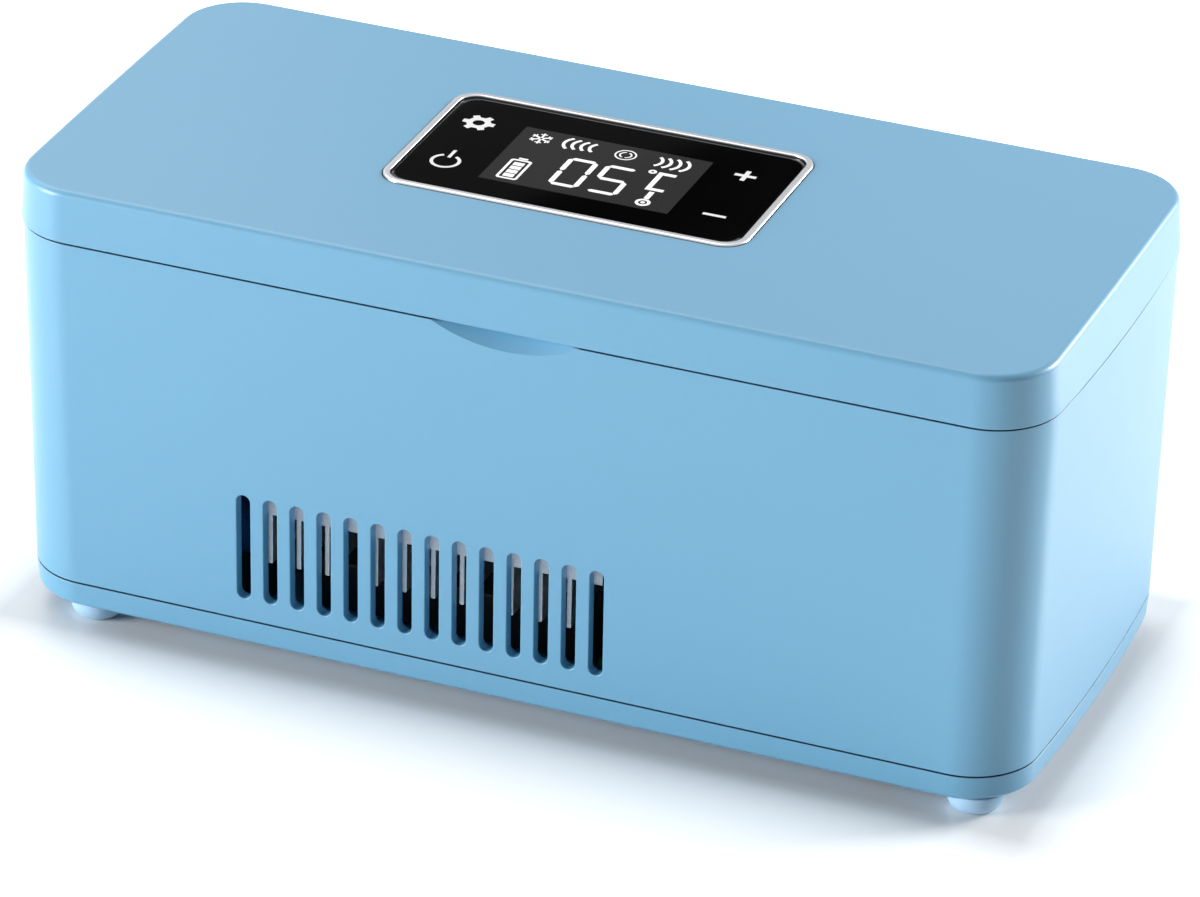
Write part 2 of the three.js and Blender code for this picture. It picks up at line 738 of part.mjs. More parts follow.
// Slots under the fan, as long as the circle of its bore allows.
function intakeSlots() {
  const reach = fanBore / 2 - wall;
  const slots = [];
  const half = Math.floor((reach - intakeWidth) / intakePitch);
  for (let i = -half; i <= half; i++) {
    const x = i * intakePitch;
    const length = 2 * Math.sqrt(reach ** 2 - x ** 2);
    const slot = slotCutter(length, intakeWidth, 2 * (wall + overrun)).rotateZ(Math.PI / 2);
    slots.push(slot.translate(thermalX + x, 0, baseZ));
  }
  return slots;
}

// A soft foot: domed pad with a flat sole and a stem that sits in the base.
function foot() {
  const profile = [[0, 0], [footFlatRadius, 0]];
  for (let i = 1; i <= footDomeSteps; i++) {
    const angle = ((i / footDomeSteps) * Math.PI) / 2;
    profile.push([
      footFlatRadius + (footRadius - footFlatRadius) * Math.sin(angle),
      footHeight * footDomeShare * (1 - Math.cos(angle)),
    ]);
  }
  profile.push([footRadius, footHeight], [footStemRadius, footHeight],
    [footStemRadius, footHeight + footStemLength], [0, footHeight + footStemLength]);
  return new THREE.LatheGeometry(profile.map(([r, z]) => new THREE.Vector2(r, z)), footSides)
    .rotateX(Math.PI / 2);
}

// A screw with its head below the origin and its shank going up.
function screw(headRadius, headHeight, radius, length) {
  const profile = [
    [0, -headHeight],
    [headRadius * headTopShare, -headHeight],
    [headRadius, 0],
    [radius, 0],
    [radius, length - radius],
    [0, length],
  ];
  return new THREE.LatheGeometry(profile.map(([r, z]) => new THREE.Vector2(r, z)), screwSides)
    .rotateX(Math.PI / 2);
}

// Chamber, deck and insulation
function chamberPlate(grow, z0, z1) {
  return roundPlate(chamberLength + 2 * grow, chamberDepth + 2 * grow, chamberRadius + grow, 0, 0, z0, z1);
}

function coldChamber() {
  return cut(
    join(chamberPlate(chamberWall, chamberZ, deckTopZ),
      chamberPlate(chamberWall + chamberFlange, deckTopZ - chamberWall, deckTopZ)),
    chamberPlate(0, chamberZ + chamberWall, deckTopZ + overrun),
  );
}

function magnetCup(z0, z1) {
  return [-magnetX, magnetX].map((x) => postZ(magnetRadius + fitGap + cupWall, x, magnetY, z0, z1));
}

function magnetPocket(z0, z1) {
  return [-magnetX, magnetX].map((x) => postZ(magnetRadius + fitGap, x, magnetY, z0, z1));
}

function deckFrame() {
  const cupZ = deckZ - magnetThickness - seatGap;
  const plate = cut(bodyLoft(deckZ, deckTopZ, wall + fitGap),
    chamberPlate(chamberWall + fitGap, deckZ - overrun, deckTopZ + overrun),
    chamberPlate(chamberWall + chamberFlange + fitGap, deckTopZ - chamberWall - seatGap, deckTopZ + overrun),
    scoopBall(scoopWall + fitGap), cableChannel(), ...cableElbow(-1));
  return cut(join(plate, ...magnetCup(cupZ, deckZ + weld)), ...magnetPocket(cupZ - overrun, deckZ));
}

function chamberInsulation() {
  const block = bodyLoft(insulationZ, deckZ - seatGap, wall + fitGap);
  const cupRoom = [-magnetX, magnetX].map((x) =>
    postZ(magnetRadius + 2 * fitGap + cupWall, x, magnetY, deckZ - magnetThickness - 2 * fitGap, deckZ));
  const sensorRoom = span(sensorX - sensorRadius - fitGap, sensorX + sensorRadius + fitGap,
    chamberDepth / 2, sensorY + sensorRadius + fitGap, insulationZ - overrun, sensorTopZ + fitGap);
  return cut(block,
    chamberPlate(chamberWall + fitGap, chamberZ - seatGap, deckZ + overrun),
    roundPlate(coldBlockLength + 2 * fitGap, coldBlockDepth + 2 * fitGap, coldBlockRadius + fitGap,
      thermalX, 0, insulationZ - overrun, chamberZ),
    ...cupRoom, ...deckLugs(fitGap), cableChannel(), sensorRoom, peltierLeadRoom());
}

function coldBlock() {
  const holes = clampScrewPlaces.map(([x, y]) =>
    postZ(clampScrewRadius + fitGap, x, y, coldBlockZ - overrun, coldBlockZ + clampScrewBite + overrun));
  return cut(roundPlate(coldBlockLength, coldBlockDepth, coldBlockRadius, thermalX, 0,
    coldBlockZ, coldBlockZ + coldBlockHeight), ...holes);
}

// Places of the fins from the middle of their pattern: three groups with two screw channels.
function finPlaces() {
  const places = [];
  let x = 0;
  finGroups.forEach((count) => {
    for (let i = 0; i < count; i++) {
      places.push(x);
      x += i + 1 < count ? finPitch : finChannel;
    }
  });
  const middle = places[places.length - 1] / 2;
  return places.map((place) => place - middle);
}

// Extruded aluminium: a plate with fins hanging below it, drawn across the case.
function heatSink() {
  const shape = new THREE.Shape();
  shape.moveTo(-heatSinkLength / 2, heatSinkPlate);
  shape.lineTo(-heatSinkLength / 2, 0);
  finPlaces().forEach((place) => {
    const left = place + finShift - finThickness / 2;
    shape.lineTo(left, 0);
    shape.lineTo(left, -finHeight);
    shape.lineTo(left + finThickness, -finHeight);
    shape.lineTo(left + finThickness, 0);
  });
  shape.lineTo(heatSinkLength / 2, 0);
  shape.lineTo(heatSinkLength / 2, heatSinkPlate);
  shape.closePath();
  const depth = 2 * (bodyHalfDepth(finTipZ) - wall - heatSinkWallGap);
  const profile = new THREE.ExtrudeGeometry(shape, { depth, bevelEnabled: false })
    .rotateX(Math.PI / 2)
    .translate(thermalX, depth / 2, heatSinkPlateZ);
  const holes = clampScrewPlaces.map(([x, y]) =>
    postZ(clampScrewRadius + fitGap, x, y, heatSinkPlateZ - overrun, heatSinkTopZ + overrun));
  return cut(profile, ...holes);
}

// Fan
function fanFrame() {
  const ring = cut(
    roundPlate(fanSide, fanSide, fanCorner, 0, 0, fanZ, fanZ + fanThickness),
    postZ(fanBore / 2, 0, 0, fanZ - overrun, fanZ + fanThickness + overrun, largeSides),
  );
  const spokes = [0, 1].map((turn) =>
    block(fanBore + weld, fanSpoke, fanPlate, 0, 0, fanZ).rotateZ(Math.PI / 4 + (turn * Math.PI) / 2));
  const joined = join(ring, ...spokes, postZ(fanHubRadius, 0, 0, fanZ, fanZ + fanPlate, roundSides));
  const holes = [-1, 1].flatMap((sx) => [-1, 1].map((sy) =>
    postZ(fanScrewRadius + fitGap, (sx * fanScrewSpacing) / 2, (sy * fanScrewSpacing) / 2,
      fanZ - overrun, fanZ + fanThickness + overrun)));
  const bearing = postZ(fanShaftRadius + fitGap, 0, 0, fanZ - overrun, fanZ + fanPlate + overrun);
  return cut(joined, ...holes, bearing).translate(thermalX, 0, 0);
}

// One blade: a curved strip that turns back as it rises, from the hub out to the tip.
function fanBlade() {
  const z0 = fanZ + fanPlate + fanRunningGap;
  const z1 = fanZ + fanThickness - fanRunningGap;
  const levels = [];
  for (let i = 0; i <= bladeSteps; i++) {
    const share = i / bladeSteps;
    const turn = bladeTurn * (share - bladeCurveShare * share * (1 - share));
    const thick = bladeThickness / fanHubRadius;
    const inner = fanHubRadius - weld;
    const outer = fanBore / 2 - fanRunningGap;
    const corner = (radius, angle) => [radius * Math.cos(angle), radius * Math.sin(angle)];
    levels.push({
      outline: [
        corner(inner, turn),
        corner(outer, turn + bladeSweep),
        corner(outer, turn + bladeSweep + thick / 2),
        corner(inner, turn + thick),
      ],
      z: THREE.MathUtils.lerp(z0, z1, share),
    });
  }
  return loft(levels);
}

function fanRotor() {
  const z0 = fanZ + fanPlate + fanRunningGap;
  const z1 = fanZ + fanThickness - fanRunningGap;
  const hub = postZ(fanHubRadius, 0, 0, z0, z1, roundSides);
  const shaft = postZ(fanShaftRadius, 0, 0, fanZ + seatGap, fanZ + fanThickness / 2);
  const blades = [];
  for (let i = 0; i < fanBladeCount; i++) blades.push(fanBlade().rotateZ((i * 2 * Math.PI) / fanBladeCount));
  return join(hub, shaft, ...blades).translate(thermalX, 0, 0);
}

// Battery
const holderZ = floorZ + seatGap;
const cellZ = holderZ + holderWall + cellRadius + seatGap;
const cellPlaces = [-1, 1].map((side) => cellX + (side * cellPitch) / 2);

function batteryCell(x) {
  const body = postZ(cellRadius, 0, 0, -cellLength / 2, cellLength / 2, roundSides);
  const cap = postZ(cellCapRadius, 0, 0, cellLength / 2 - weld, cellLength / 2 + cellCap);
  return join(body, cap).rotateX(-Math.PI / 2).translate(x, 0, cellZ);
}

function batteryHolder() {
  const half = cellPitch + holderWall;
  const halfDepth = cellLength / 2 + cellCap + fitGap + holderWall;
  const tray = span(cellX - half, cellX + half, -halfDepth, halfDepth, holderZ, cellZ);
  const seats = cellPlaces.map((x) =>
    barBetween(cellRadius + seatGap, new THREE.Vector3(x, holderWall - halfDepth, cellZ),
      new THREE.Vector3(x, halfDepth - holderWall, cellZ), roundSides));
  const bossRoom = baseScrewPlaces.map(([x, y]) =>
    postZ(baseScrewHeadRadius + bossWall + fitGap, x, y, baseZ, cellZ + overrun));
  return cut(tray, ...seats, ...bossRoom);
}

// Electronics in the body
function mainBoard() {
  const board = block(mainBoardLength, mainBoardDepth, mainBoardThickness, mainBoardX, 0, mainBoardZ);
  const socketBlocks = Object.values(sockets).map(({ x, y }) =>
    block(socketLength, socketDepth, socketHeight + weld, x, y, mainBoardTopZ - weld));
  const tall = ([shareX, shareY], side, height) =>
    block(side, side, height + weld, mainBoardLeft + shareX * mainBoardLength,
      (shareY - 1 / 2) * mainBoardDepth, mainBoardTopZ - weld);
  const parts = [
    tall(inductorShares, inductorSide, inductorHeight),
    tall(controllerShares, controllerSide, controllerHeight),
    tall(capacitorShares, capacitorSide, capacitorHeight),
  ];
  const holes = boardPegPlaces.map(([x, y]) =>
    postZ(pegRadius + fitGap, x, y, mainBoardZ - overrun, mainBoardTopZ + overrun));
  return cut(join(board, ...socketBlocks, ...parts), ...holes);
}

const jackZ = mainBoardTopZ + seatGap + jackHeight / 2;

function jackMouth(radius) {
  return barBetween(radius, new THREE.Vector3(jackX, jackRearY - weld, jackZ),
    new THREE.Vector3(jackX, rearY + overrun, jackZ), roundSides);
}

function dcJack() {
  const bodyBlock = span(jackX - jackWidth / 2, jackX + jackWidth / 2, jackRearY - jackLength, jackRearY,
    jackZ - jackHeight / 2, jackZ + jackHeight / 2);
  const faceY = bodyHalfDepth(jackZ) - fitGap;
  const point = (y) => new THREE.Vector3(jackX, y, jackZ);
  const collar = barBetween(jackCollar, point(jackRearY - weld), point(faceY), roundSides);
  const bore = barBetween(jackBore, point(faceY - jackBoreDepth), point(faceY + overrun), roundSides);
  const pin = barBetween(jackPinRadius, point(faceY - jackBoreDepth - weld), point(faceY - overrun));
  return join(cut(join(bodyBlock, collar), bore), pin);
}

function temperatureSensor() {
  const bead = postZ(sensorRadius, sensorX, sensorY, sensorTopZ - sensorLength, sensorTopZ);
  const wire = postZ(cableRadius, sensorX, sensorY, socketTopZ + fitGap, sensorTopZ - sensorLength + weld);
  return join(bead, wire);
}

// Leads
const at = (x, y, z) => new THREE.Vector3(x, y, z);

function displayCableLid() {
  const z = displayBoardZ + displayBoardThickness / 2;
  const rise = z - seamZ;
  return lead([
    at(lidCableX, bezelY + displayBoardDepth / 2 + fitGap, z),
    at(lidCableX, rearY - rise, z),
    at(lidCableX, rearY, seamZ),
    at(cableKnuckleX - fitGap / 2, rearY, seamZ),
  ], cableRadius, cableBend);
}

function displayCableCase() {
  return lead([
    at(cableKnuckleX + fitGap / 2, rearY, seamZ),
    at(caseCableX, rearY, seamZ),
    at(caseCableX, rearY - cableDrop, seamZ - cableDrop),
    at(caseCableX, rearY - cableDrop, socketMiddleZ),
    at(caseCableX, displaySocketY + socketDepth / 2 + fitGap, socketMiddleZ),
  ], cableRadius, cableBend);
}

function fanLead() {
  const start = thermalX + fanSide / 2 + fitGap;
  const low = fanZ + fanThickness / 2;
  return lead([
    at(start, fanSocketY, low),
    at(start + fanLeadReach, fanSocketY, low),
    at(start + fanLeadReach, fanSocketY, socketMiddleZ),
    at(mainBoardLeft + socketInset - fitGap, fanSocketY, socketMiddleZ),
  ], cableRadius, cableBend);
}

function batteryLead() {
  const start = cellX + cellPitch + holderWall + fitGap;
  const holderY = cellLength / 2 - holderWall;
  const low = holderZ + holderWall + leadRadius;
  return lead([
    at(start, holderY, low),
    at(start + batteryLeadReach, holderY, low),
    at(start + 2 * batteryLeadReach, batterySocketY, socketMiddleZ),
    at(mainBoardLeft + socketInset - fitGap, batterySocketY, socketMiddleZ),
  ], leadRadius, leadBend);
}

function peltierLead() {
  const z = peltierZ + peltierThickness / 2;
  const { x, y } = sockets.peltier;
  return lead([
    at(thermalX + peltierSide / 2 + fitGap, y, z),
    at(x, y, z),
    at(x, y, socketTopZ + fitGap),
  ], leadRadius, leadBend);
}

function peltierLeadRoom() {
  const half = leadRadius + fitGap;
  const { x, y } = sockets.peltier;
  return span(thermalX, x + half, y - half, y + half,
    insulationZ - overrun, peltierZ + peltierThickness / 2 + half);
}

// Lid
function lidShell() {
  const levels = [{ outline: lidOutline(lidZ), z: lidZ }];
  for (let i = 0; i <= filletSteps; i++) {
    const angle = ((i / filletSteps) * Math.PI) / 2;
    const z = topZ - topFillet * (1 - Math.sin(angle));
    levels.push({ outline: lidOutline(z, topFillet * (1 - Math.cos(angle))), z });
  }
  const hollow = loft([
    { outline: lidOutline(lidZ - overrun, wall), z: lidZ - overrun },
    { outline: lidOutline(lidCeilingZ, wall), z: lidCeilingZ },
  ]);
  const shell = cut(loft(levels), hollow, ...bodyKnuckles.map(knuckleRelief));
  const bosses = lidScrewPlaces.map(([x, y]) =>
    postZ(lidScrewRadius + bossWall, x, y, innerPanelTopZ + seatGap, lidCeilingZ + weld));
  const standoffs = [-1, 1].flatMap((sx) => [-1, 1].map((sy) =>
    postZ(pegRadius + pegShoulder,
      bezelX + sx * (displayBoardLength / 2 - pegRadius - pegShoulder),
      bezelY + sy * (displayBoardDepth / 2 - pegRadius - pegShoulder),
      displayBoardTopZ + seatGap, lidCeilingZ + weld)));
  const joined = join(shell, ...bosses, ...standoffs, ...lidKnuckles.map(knuckle));
  const pilots = lidScrewPlaces.map(([x, y]) =>
    postZ(lidScrewRadius + fitGap, x, y, lidZ, innerPanelZ + lidScrewLength + fitGap));
  const opening = 2 * (bezelWidth + panelLedge);
  return cut(joined,
    roundPlate(bezelLength + 2 * panelFit, bezelDepth + 2 * panelFit, bezelRadius + panelFit,
      bezelX, bezelY, topZ - panelPocket, topZ + overrun),
    roundPlate(bezelLength - opening, bezelDepth - opening, openingRadius,
      bezelX, bezelY, lidCeilingZ - pegShoulder, topZ + overrun),
    ...pilots, ...hingePinBores(), ...cableElbow(1));
}

function innerPanel() {
  const flange = loft([
    { outline: lidOutline(innerPanelZ, wall + fitGap), z: innerPanelZ },
    { outline: lidOutline(innerPanelTopZ, wall + fitGap), z: innerPanelTopZ },
  ]);
  const plug = roundPlate(plugLength, plugDepth, plugRadius, 0, 0, plugZ, innerPanelTopZ);
  const cupTopZ = innerPanelTopZ + magnetThickness;
  const joined = join(flange, plug, ...magnetCup(innerPanelTopZ - weld, cupTopZ));
  const hollow = roundPlate(plugLength - 2 * plugWall, plugDepth - 2 * plugWall, plugRadius - plugWall, 0, 0,
    plugZ + plugWall, innerPanelTopZ + overrun);
  const holes = lidScrewPlaces.map(([x, y]) =>
    postZ(lidScrewRadius + fitGap, x, y, innerPanelZ - overrun, innerPanelTopZ + overrun));
  return cut(joined, hollow, ...holes, ...magnetPocket(innerPanelTopZ, cupTopZ + overrun),
    ...[...bodyKnuckles, ...lidKnuckles].map(knuckleRelief), ...cableElbow(1));
}

function lidGasket() {
  return cut(
    chamberPlate(gasketInset + gasketWidth, deckTopZ + seatGap, innerPanelZ - seatGap),
    chamberPlate(gasketInset, deckTopZ, innerPanelZ),
  );
}

function lidFoam() {
  const inset = 2 * (plugWall + fitGap);
  return roundPlate(plugLength - inset, plugDepth - inset, plugRadius - plugWall, 0, 0,
    plugZ + plugWall + seatGap, displayBoardZ - fitGap);
}

function panelBezel() {
  const glass = 2 * bezelWidth;
  const z0 = topZ - panelPocket + seatGap / 2;
  return cut(
    roundPlate(bezelLength, bezelDepth, bezelRadius, bezelX, bezelY, z0, topZ + bezelProud),
    roundPlate(bezelLength - glass, bezelDepth - glass, bezelRadius - bezelWidth, bezelX, bezelY,
      topZ - panelPocket - overrun, topZ + overrun),
  );
}

function panelGlass() {
  const frame = 2 * (bezelWidth + panelFit);
  return roundPlate(bezelLength - frame, bezelDepth - frame, bezelRadius - bezelWidth - panelFit,
    bezelX, bezelY, glassZ, glassZ + glassThickness);
}

const product = new THREE.Group();
product.position.y = -knuckleRadius / 2;

function add(name, geometry, material) {
  const mesh = new THREE.Mesh(geometry, material);
  mesh.name = name;
  product.add(mesh);
  return mesh;
}

// Adds one fastener at each place; turned ones point down.
function addScrews(names, places, make, z, down) {
  places.forEach(([x, y], i) => {
    const mesh = add(names[i], make(), steel);
    mesh.position.set(x, y, z);
    if (down) mesh.rotation.x = Math.PI;
  });
}

const sideNames = ["left", "right"];
const quarterNames = ["left_front", "left_rear", "right_front", "right_rear"];

add("body_shell", bodyShell(), bluePlastic);
add("base_plate", basePlate(), bluePlastic);
footPlaces.forEach(({ name, x, y }) => add(name, foot(), paleRubber).position.set(x, y, 0));
addScrews(quarterNames.map((name) => "base_screw_" + name), baseScrewPlaces,
  () => screw(baseScrewHeadRadius, baseScrewHead, baseScrewRadius, baseScrewLength),
  baseZ + baseScrewRecess - seatGap, false);
add("deck_frame", deckFrame(), whitePlastic);
add("cold_chamber", coldChamber(), aluminium);
add("chamber_insulation", chamberInsulation(), foam);
add("cold_block", coldBlock(), aluminium);
add("peltier_module", block(peltierSide, peltierSide, peltierThickness, thermalX, 0, peltierZ), ceramicWhite);
add("heat_sink", heatSink(), aluminium);
addScrews(quarterNames.map((name) => "clamp_screw_" + name), clampScrewPlaces,
  () => screw(clampScrewHeadRadius, clampScrewHead, clampScrewRadius, clampScrewLength),
  heatSinkPlateZ - seatGap, false);
add("fan_frame", fanFrame(), blackPlastic);
add("fan_rotor", fanRotor(), blackPlastic);
addScrews(quarterNames.map((name) => "fan_screw_" + name), fanScrewPlaces,
  () => screw(fanScrewHeadRadius, fanScrewHead, fanScrewRadius, fanThickness + fanScrewBite),
  fanZ + fanThickness + seatGap, true);
cellPlaces.forEach((x, i) => add("battery_cell_" + sideNames[i], batteryCell(x), cellWrap));
add("battery_holder", batteryHolder(), blackPlastic);
add("main_board", mainBoard(), boardGreen);
add("dc_jack", dcJack(), blackPlastic);
add("temperature_sensor", temperatureSensor(), blackPlastic);
pinHinges.forEach((x, i) => {
  const half = knuckleLength / 2 + knuckleStep;
  add("hinge_pin_" + sideNames[i], barX(hingePinRadius, x - half, x + half, rearY, seamZ), steel);
});
sideNames.forEach((side, i) => {
  const x = i ? magnetX : -magnetX;
  const bodyMagnetZ = deckZ - seatGap - magnetThickness;
  const lidMagnetZ = innerPanelTopZ + seatGap;
  const magnet = (z) => postZ(magnetRadius, x, magnetY, z, z + magnetThickness);
  add("body_magnet_" + side, magnet(bodyMagnetZ), steel);
  add("lid_magnet_" + side, magnet(lidMagnetZ), steel);
});
add("display_cable_case", displayCableCase(), cableGrey);
add("display_cable_lid", displayCableLid(), cableGrey);
add("fan_lead", fanLead(), cableGrey);
add("battery_lead", batteryLead(), cableGrey);
add("peltier_lead", peltierLead(), cableGrey);
add("lid_shell", lidShell(), bluePlastic);
add("lid_inner_panel", innerPanel(), whitePlastic);
add("lid_gasket", lidGasket(), siliconeRubber);
add("lid_foam", lidFoam(), foam);
add("panel_bezel", panelBezel(), silver);
add("panel_glass", panelGlass(), blackGlass);
add("lcd_module", block(lcdLength, lcdDepth, lcdThickness, lcdX, lcdY, lcdZ), lcdGrey);
add("display_board", block(displayBoardLength, displayBoardDepth, displayBoardThickness,
  bezelX, bezelY, displayBoardZ), boardGreen);
const keyPlaces = {
  settings: [-leftKeyReach, upperKeyReach],
  power: [-leftKeyReach, -lowerKeyReach],
  plus: [rightKeyReach, upperKeyReach],
  minus: [rightKeyReach, -lowerKeyReach],
};
Object.entries(keyPlaces).forEach(([key, [x, y]]) => {
  const spring = postZ(touchSpringRadius, bezelX + x, bezelY + y,
    displayBoardTopZ + seatGap, glassZ - seatGap);
  add("touch_spring_" + key, spring, steel);
});
addScrews(quarterNames.map((name) => "lid_screw_" + name), lidScrewPlaces,
  () => screw(lidScrewHeadRadius, lidScrewHead, lidScrewRadius, lidScrewLength),
  innerPanelZ - seatGap, false);

const group = new THREE.Group();
group.add(product);
export default group;
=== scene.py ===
# %% [markdown]
# # Insulin cooling case
# This lesson dresses a small electric cooling case for insulin pens. The case is a moulded
# light blue box with a hinged lid, a black touch panel, a row of vents and a cold chamber inside.
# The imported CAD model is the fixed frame. We load it first, so every piece that we
# make can be placed by the same sizes, and moves with the same bodies.

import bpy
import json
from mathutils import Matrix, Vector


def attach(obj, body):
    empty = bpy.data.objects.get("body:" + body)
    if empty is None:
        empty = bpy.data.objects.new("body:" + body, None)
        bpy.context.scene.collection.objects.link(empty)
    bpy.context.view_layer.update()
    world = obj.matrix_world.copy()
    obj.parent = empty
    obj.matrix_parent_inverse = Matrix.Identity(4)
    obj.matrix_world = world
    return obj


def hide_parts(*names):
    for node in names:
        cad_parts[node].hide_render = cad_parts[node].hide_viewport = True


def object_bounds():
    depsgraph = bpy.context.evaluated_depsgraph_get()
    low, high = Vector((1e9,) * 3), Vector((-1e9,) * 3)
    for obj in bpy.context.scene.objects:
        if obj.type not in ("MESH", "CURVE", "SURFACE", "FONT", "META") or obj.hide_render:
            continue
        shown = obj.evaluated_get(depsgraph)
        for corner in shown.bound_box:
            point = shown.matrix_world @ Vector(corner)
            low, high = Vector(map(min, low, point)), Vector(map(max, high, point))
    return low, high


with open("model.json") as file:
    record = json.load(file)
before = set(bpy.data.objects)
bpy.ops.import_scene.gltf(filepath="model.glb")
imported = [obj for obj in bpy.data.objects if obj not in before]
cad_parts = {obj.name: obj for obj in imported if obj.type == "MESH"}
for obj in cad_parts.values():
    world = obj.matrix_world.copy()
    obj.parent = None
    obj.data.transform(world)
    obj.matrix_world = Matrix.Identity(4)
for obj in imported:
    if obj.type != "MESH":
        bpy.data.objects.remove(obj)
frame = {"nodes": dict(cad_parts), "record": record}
cad_low, cad_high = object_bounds()

# %% Bring in Blender's own tools
import json
import math

import bpy
from mathutils import Matrix, Vector

MM = 0.001

# %% [markdown]
# ## Camera and light
# The camera stands to the right of the front, above the case, as for the photograph. Its
# place came from fitting the corners of the case, so a long lens shows the same flat perspective.
# The camera is rolled by a little more than a degree, because the photograph is.

# %% The camera
CAMERA_PLACE = Vector((410.1, -1055.5, 638.8)) * MM
CAMERA_TARGET = Vector((0.9, -1.3, 35.2)) * MM
CAMERA_LENS = 205.2
CAMERA_ROLL = math.radians(1.39)

camera_data = bpy.data.cameras.new("camera")
camera_data.lens = CAMERA_LENS
camera_data.sensor_width = 36
camera = bpy.data.objects.new("camera", camera_data)
bpy.context.scene.collection.objects.link(camera)
looking = (CAMERA_TARGET - CAMERA_PLACE).normalized()
camera.rotation_mode = "QUATERNION"
camera.rotation_quaternion = (
    looking.to_track_quat("-Z", "Y") @ Matrix.Rotation(CAMERA_ROLL, 3, "Z").to_quaternion()
)
camera.location = CAMERA_PLACE
bpy.context.scene.camera = camera
bpy.context.scene.view_settings.view_transform = "Standard"
print("camera at", [round(v, 3) for v in camera.location])

# %% [markdown]
# Nodes, meshes and materials are made often below, so small helpers for them come first.


# %% Helpers for nodes, meshes and materials
WHITE = (1, 1, 1, 1)


def feed(tree, socket, value):
    """Links an output to a socket, or sets a plain value on it."""
    if isinstance(value, bpy.types.NodeSocket):
        tree.links.new(value, socket)
    else:
        socket.default_value = value


def add_node(tree, kind, *values, **named):
    """A node with its inputs fed, in order or by name, where _ stands for a blank.

    A name in lower case is a setting of the node itself.
    """
    node = tree.nodes.new(kind)
    inputs = dict(enumerate(values))
    for name, value in named.items():
        if name.islower():
            setattr(node, name, value)
        else:
            inputs[name.replace("_", " ")] = value
    for socket, value in inputs.items():
        feed(tree, node.inputs[socket], value)
    return node


def math_node(tree, operation, *values):
    return add_node(tree, "ShaderNodeMath", *values, operation=operation).outputs[0]


def vector_math(tree, operation, *values, **named):
    node = add_node(tree, "ShaderNodeVectorMath", *values, operation=operation, **named)
    return node.outputs["Value" if operation in ("LENGTH", "DOT_PRODUCT") else "Vector"]


def object_place(tree):
    return tree.nodes.new("ShaderNodeTexCoord").outputs["Object"]


def new_material(name, **values):
    """A material with plain values on its shader; gives the material, its tree and the shader."""
    material = bpy.data.materials.new(name)
    material.use_nodes = True
    tree = material.node_tree
    shader = tree.nodes["Principled BSDF"]
    for socket, value in values.items():
        feed(tree, shader.inputs[socket.replace("_", " ")], value)
    return material, tree, shader


def plain_mesh(name, points, faces):
    mesh = bpy.data.meshes.new(name)
    mesh.from_pydata(points, [], faces)
    mesh.update()
    thing = bpy.data.objects.new(name, mesh)
    bpy.context.scene.collection.objects.link(thing)
    return thing


print("helpers ready")

# %% [markdown]
# The floor is plain and nearly white. A camera ray finds more and more painted white added to it
# further from the case. So close to the case the soft shadow is deepened by painted shade, and
# further out the floor runs into the white background without a line. Rays from mirror-like and
# clear surfaces find the same white as the lens does.


# %% The floor and the world
def white_rays(tree):
    """1 for the rays that look at the background: from the lens, a mirror or clear glass."""
    rays = tree.nodes.new("ShaderNodeLightPath").outputs
    found = math_node(tree, "MAXIMUM", rays["Is Camera Ray"], rays["Is Transmission Ray"])
    return math_node(tree, "MAXIMUM", found, rays["Is Glossy Ray"])


FLOOR_HALF = 4.0
FLOOR_DROP = 0.05 * MM
FLOOR_COLOR = (0.885, 0.885, 0.885, 1)
FLOOR_ROUGHNESS = 0.3
HALF_PAINTED_WHITE = 20 * MM

floor = plain_mesh(
    "floor",
    [(x * FLOOR_HALF, y * FLOOR_HALF, -FLOOR_DROP) for x, y in ((-1, -1), (1, -1), (1, 1), (-1, 1))],
    [(0, 1, 2, 3)],
)
floor_finish, floor_tree, floor_shader = new_material(
    "floor_finish", Base_Color=FLOOR_COLOR, Roughness=FLOOR_ROUGHNESS, Emission_Color=WHITE)
past_case = vector_math(floor_tree, "ABSOLUTE", object_place(floor_tree))
past_case = vector_math(floor_tree, "SUBTRACT", past_case, (cad_high[0], cad_high[1], 1))
past_case = vector_math(floor_tree, "MAXIMUM", past_case, (0, 0, 0))
beside = vector_math(floor_tree, "LENGTH", past_case)
# Painted light: white added for camera and mirror rays grows with the distance from the case, so the floor
# near the case is left darker as painted shade.
painted_white_share = math_node(floor_tree, "DIVIDE", beside, math_node(floor_tree, "ADD", beside, HALF_PAINTED_WHITE))
painted_floor_glow = math_node(floor_tree, "MULTIPLY", painted_white_share, white_rays(floor_tree))
feed(floor_tree, floor_shader.inputs["Emission Strength"], painted_floor_glow)
floor.data.materials.append(floor_finish)

WORLD_LEVEL = 0.06
world = bpy.data.worlds.new("studio")
bpy.context.scene.world = world
world.use_nodes = True
sky = world.node_tree
sky_level = add_node(sky, "ShaderNodeMapRange", Value=white_rays(sky), To_Min=WORLD_LEVEL)
feed(sky, sky.nodes["Background"].inputs["Strength"], sky_level.outputs[0])
feed(sky, sky.nodes["Background"].inputs["Color"], WHITE)
print("floor and world made")

# %% [markdown]
# Soft boxes stand round the case. The key box is low at the front left, and its partner is at the
# right rear. Neither reaches the round corner between the front and the right side, so that
# corner falls into a deeper blue, as in the photograph. The third box is
# wider, and lights the lid from the left rear.


# %% The lamps
BOX_REACH = 1.5
CASE_MIDDLE = Vector((0, 0, 0.045))


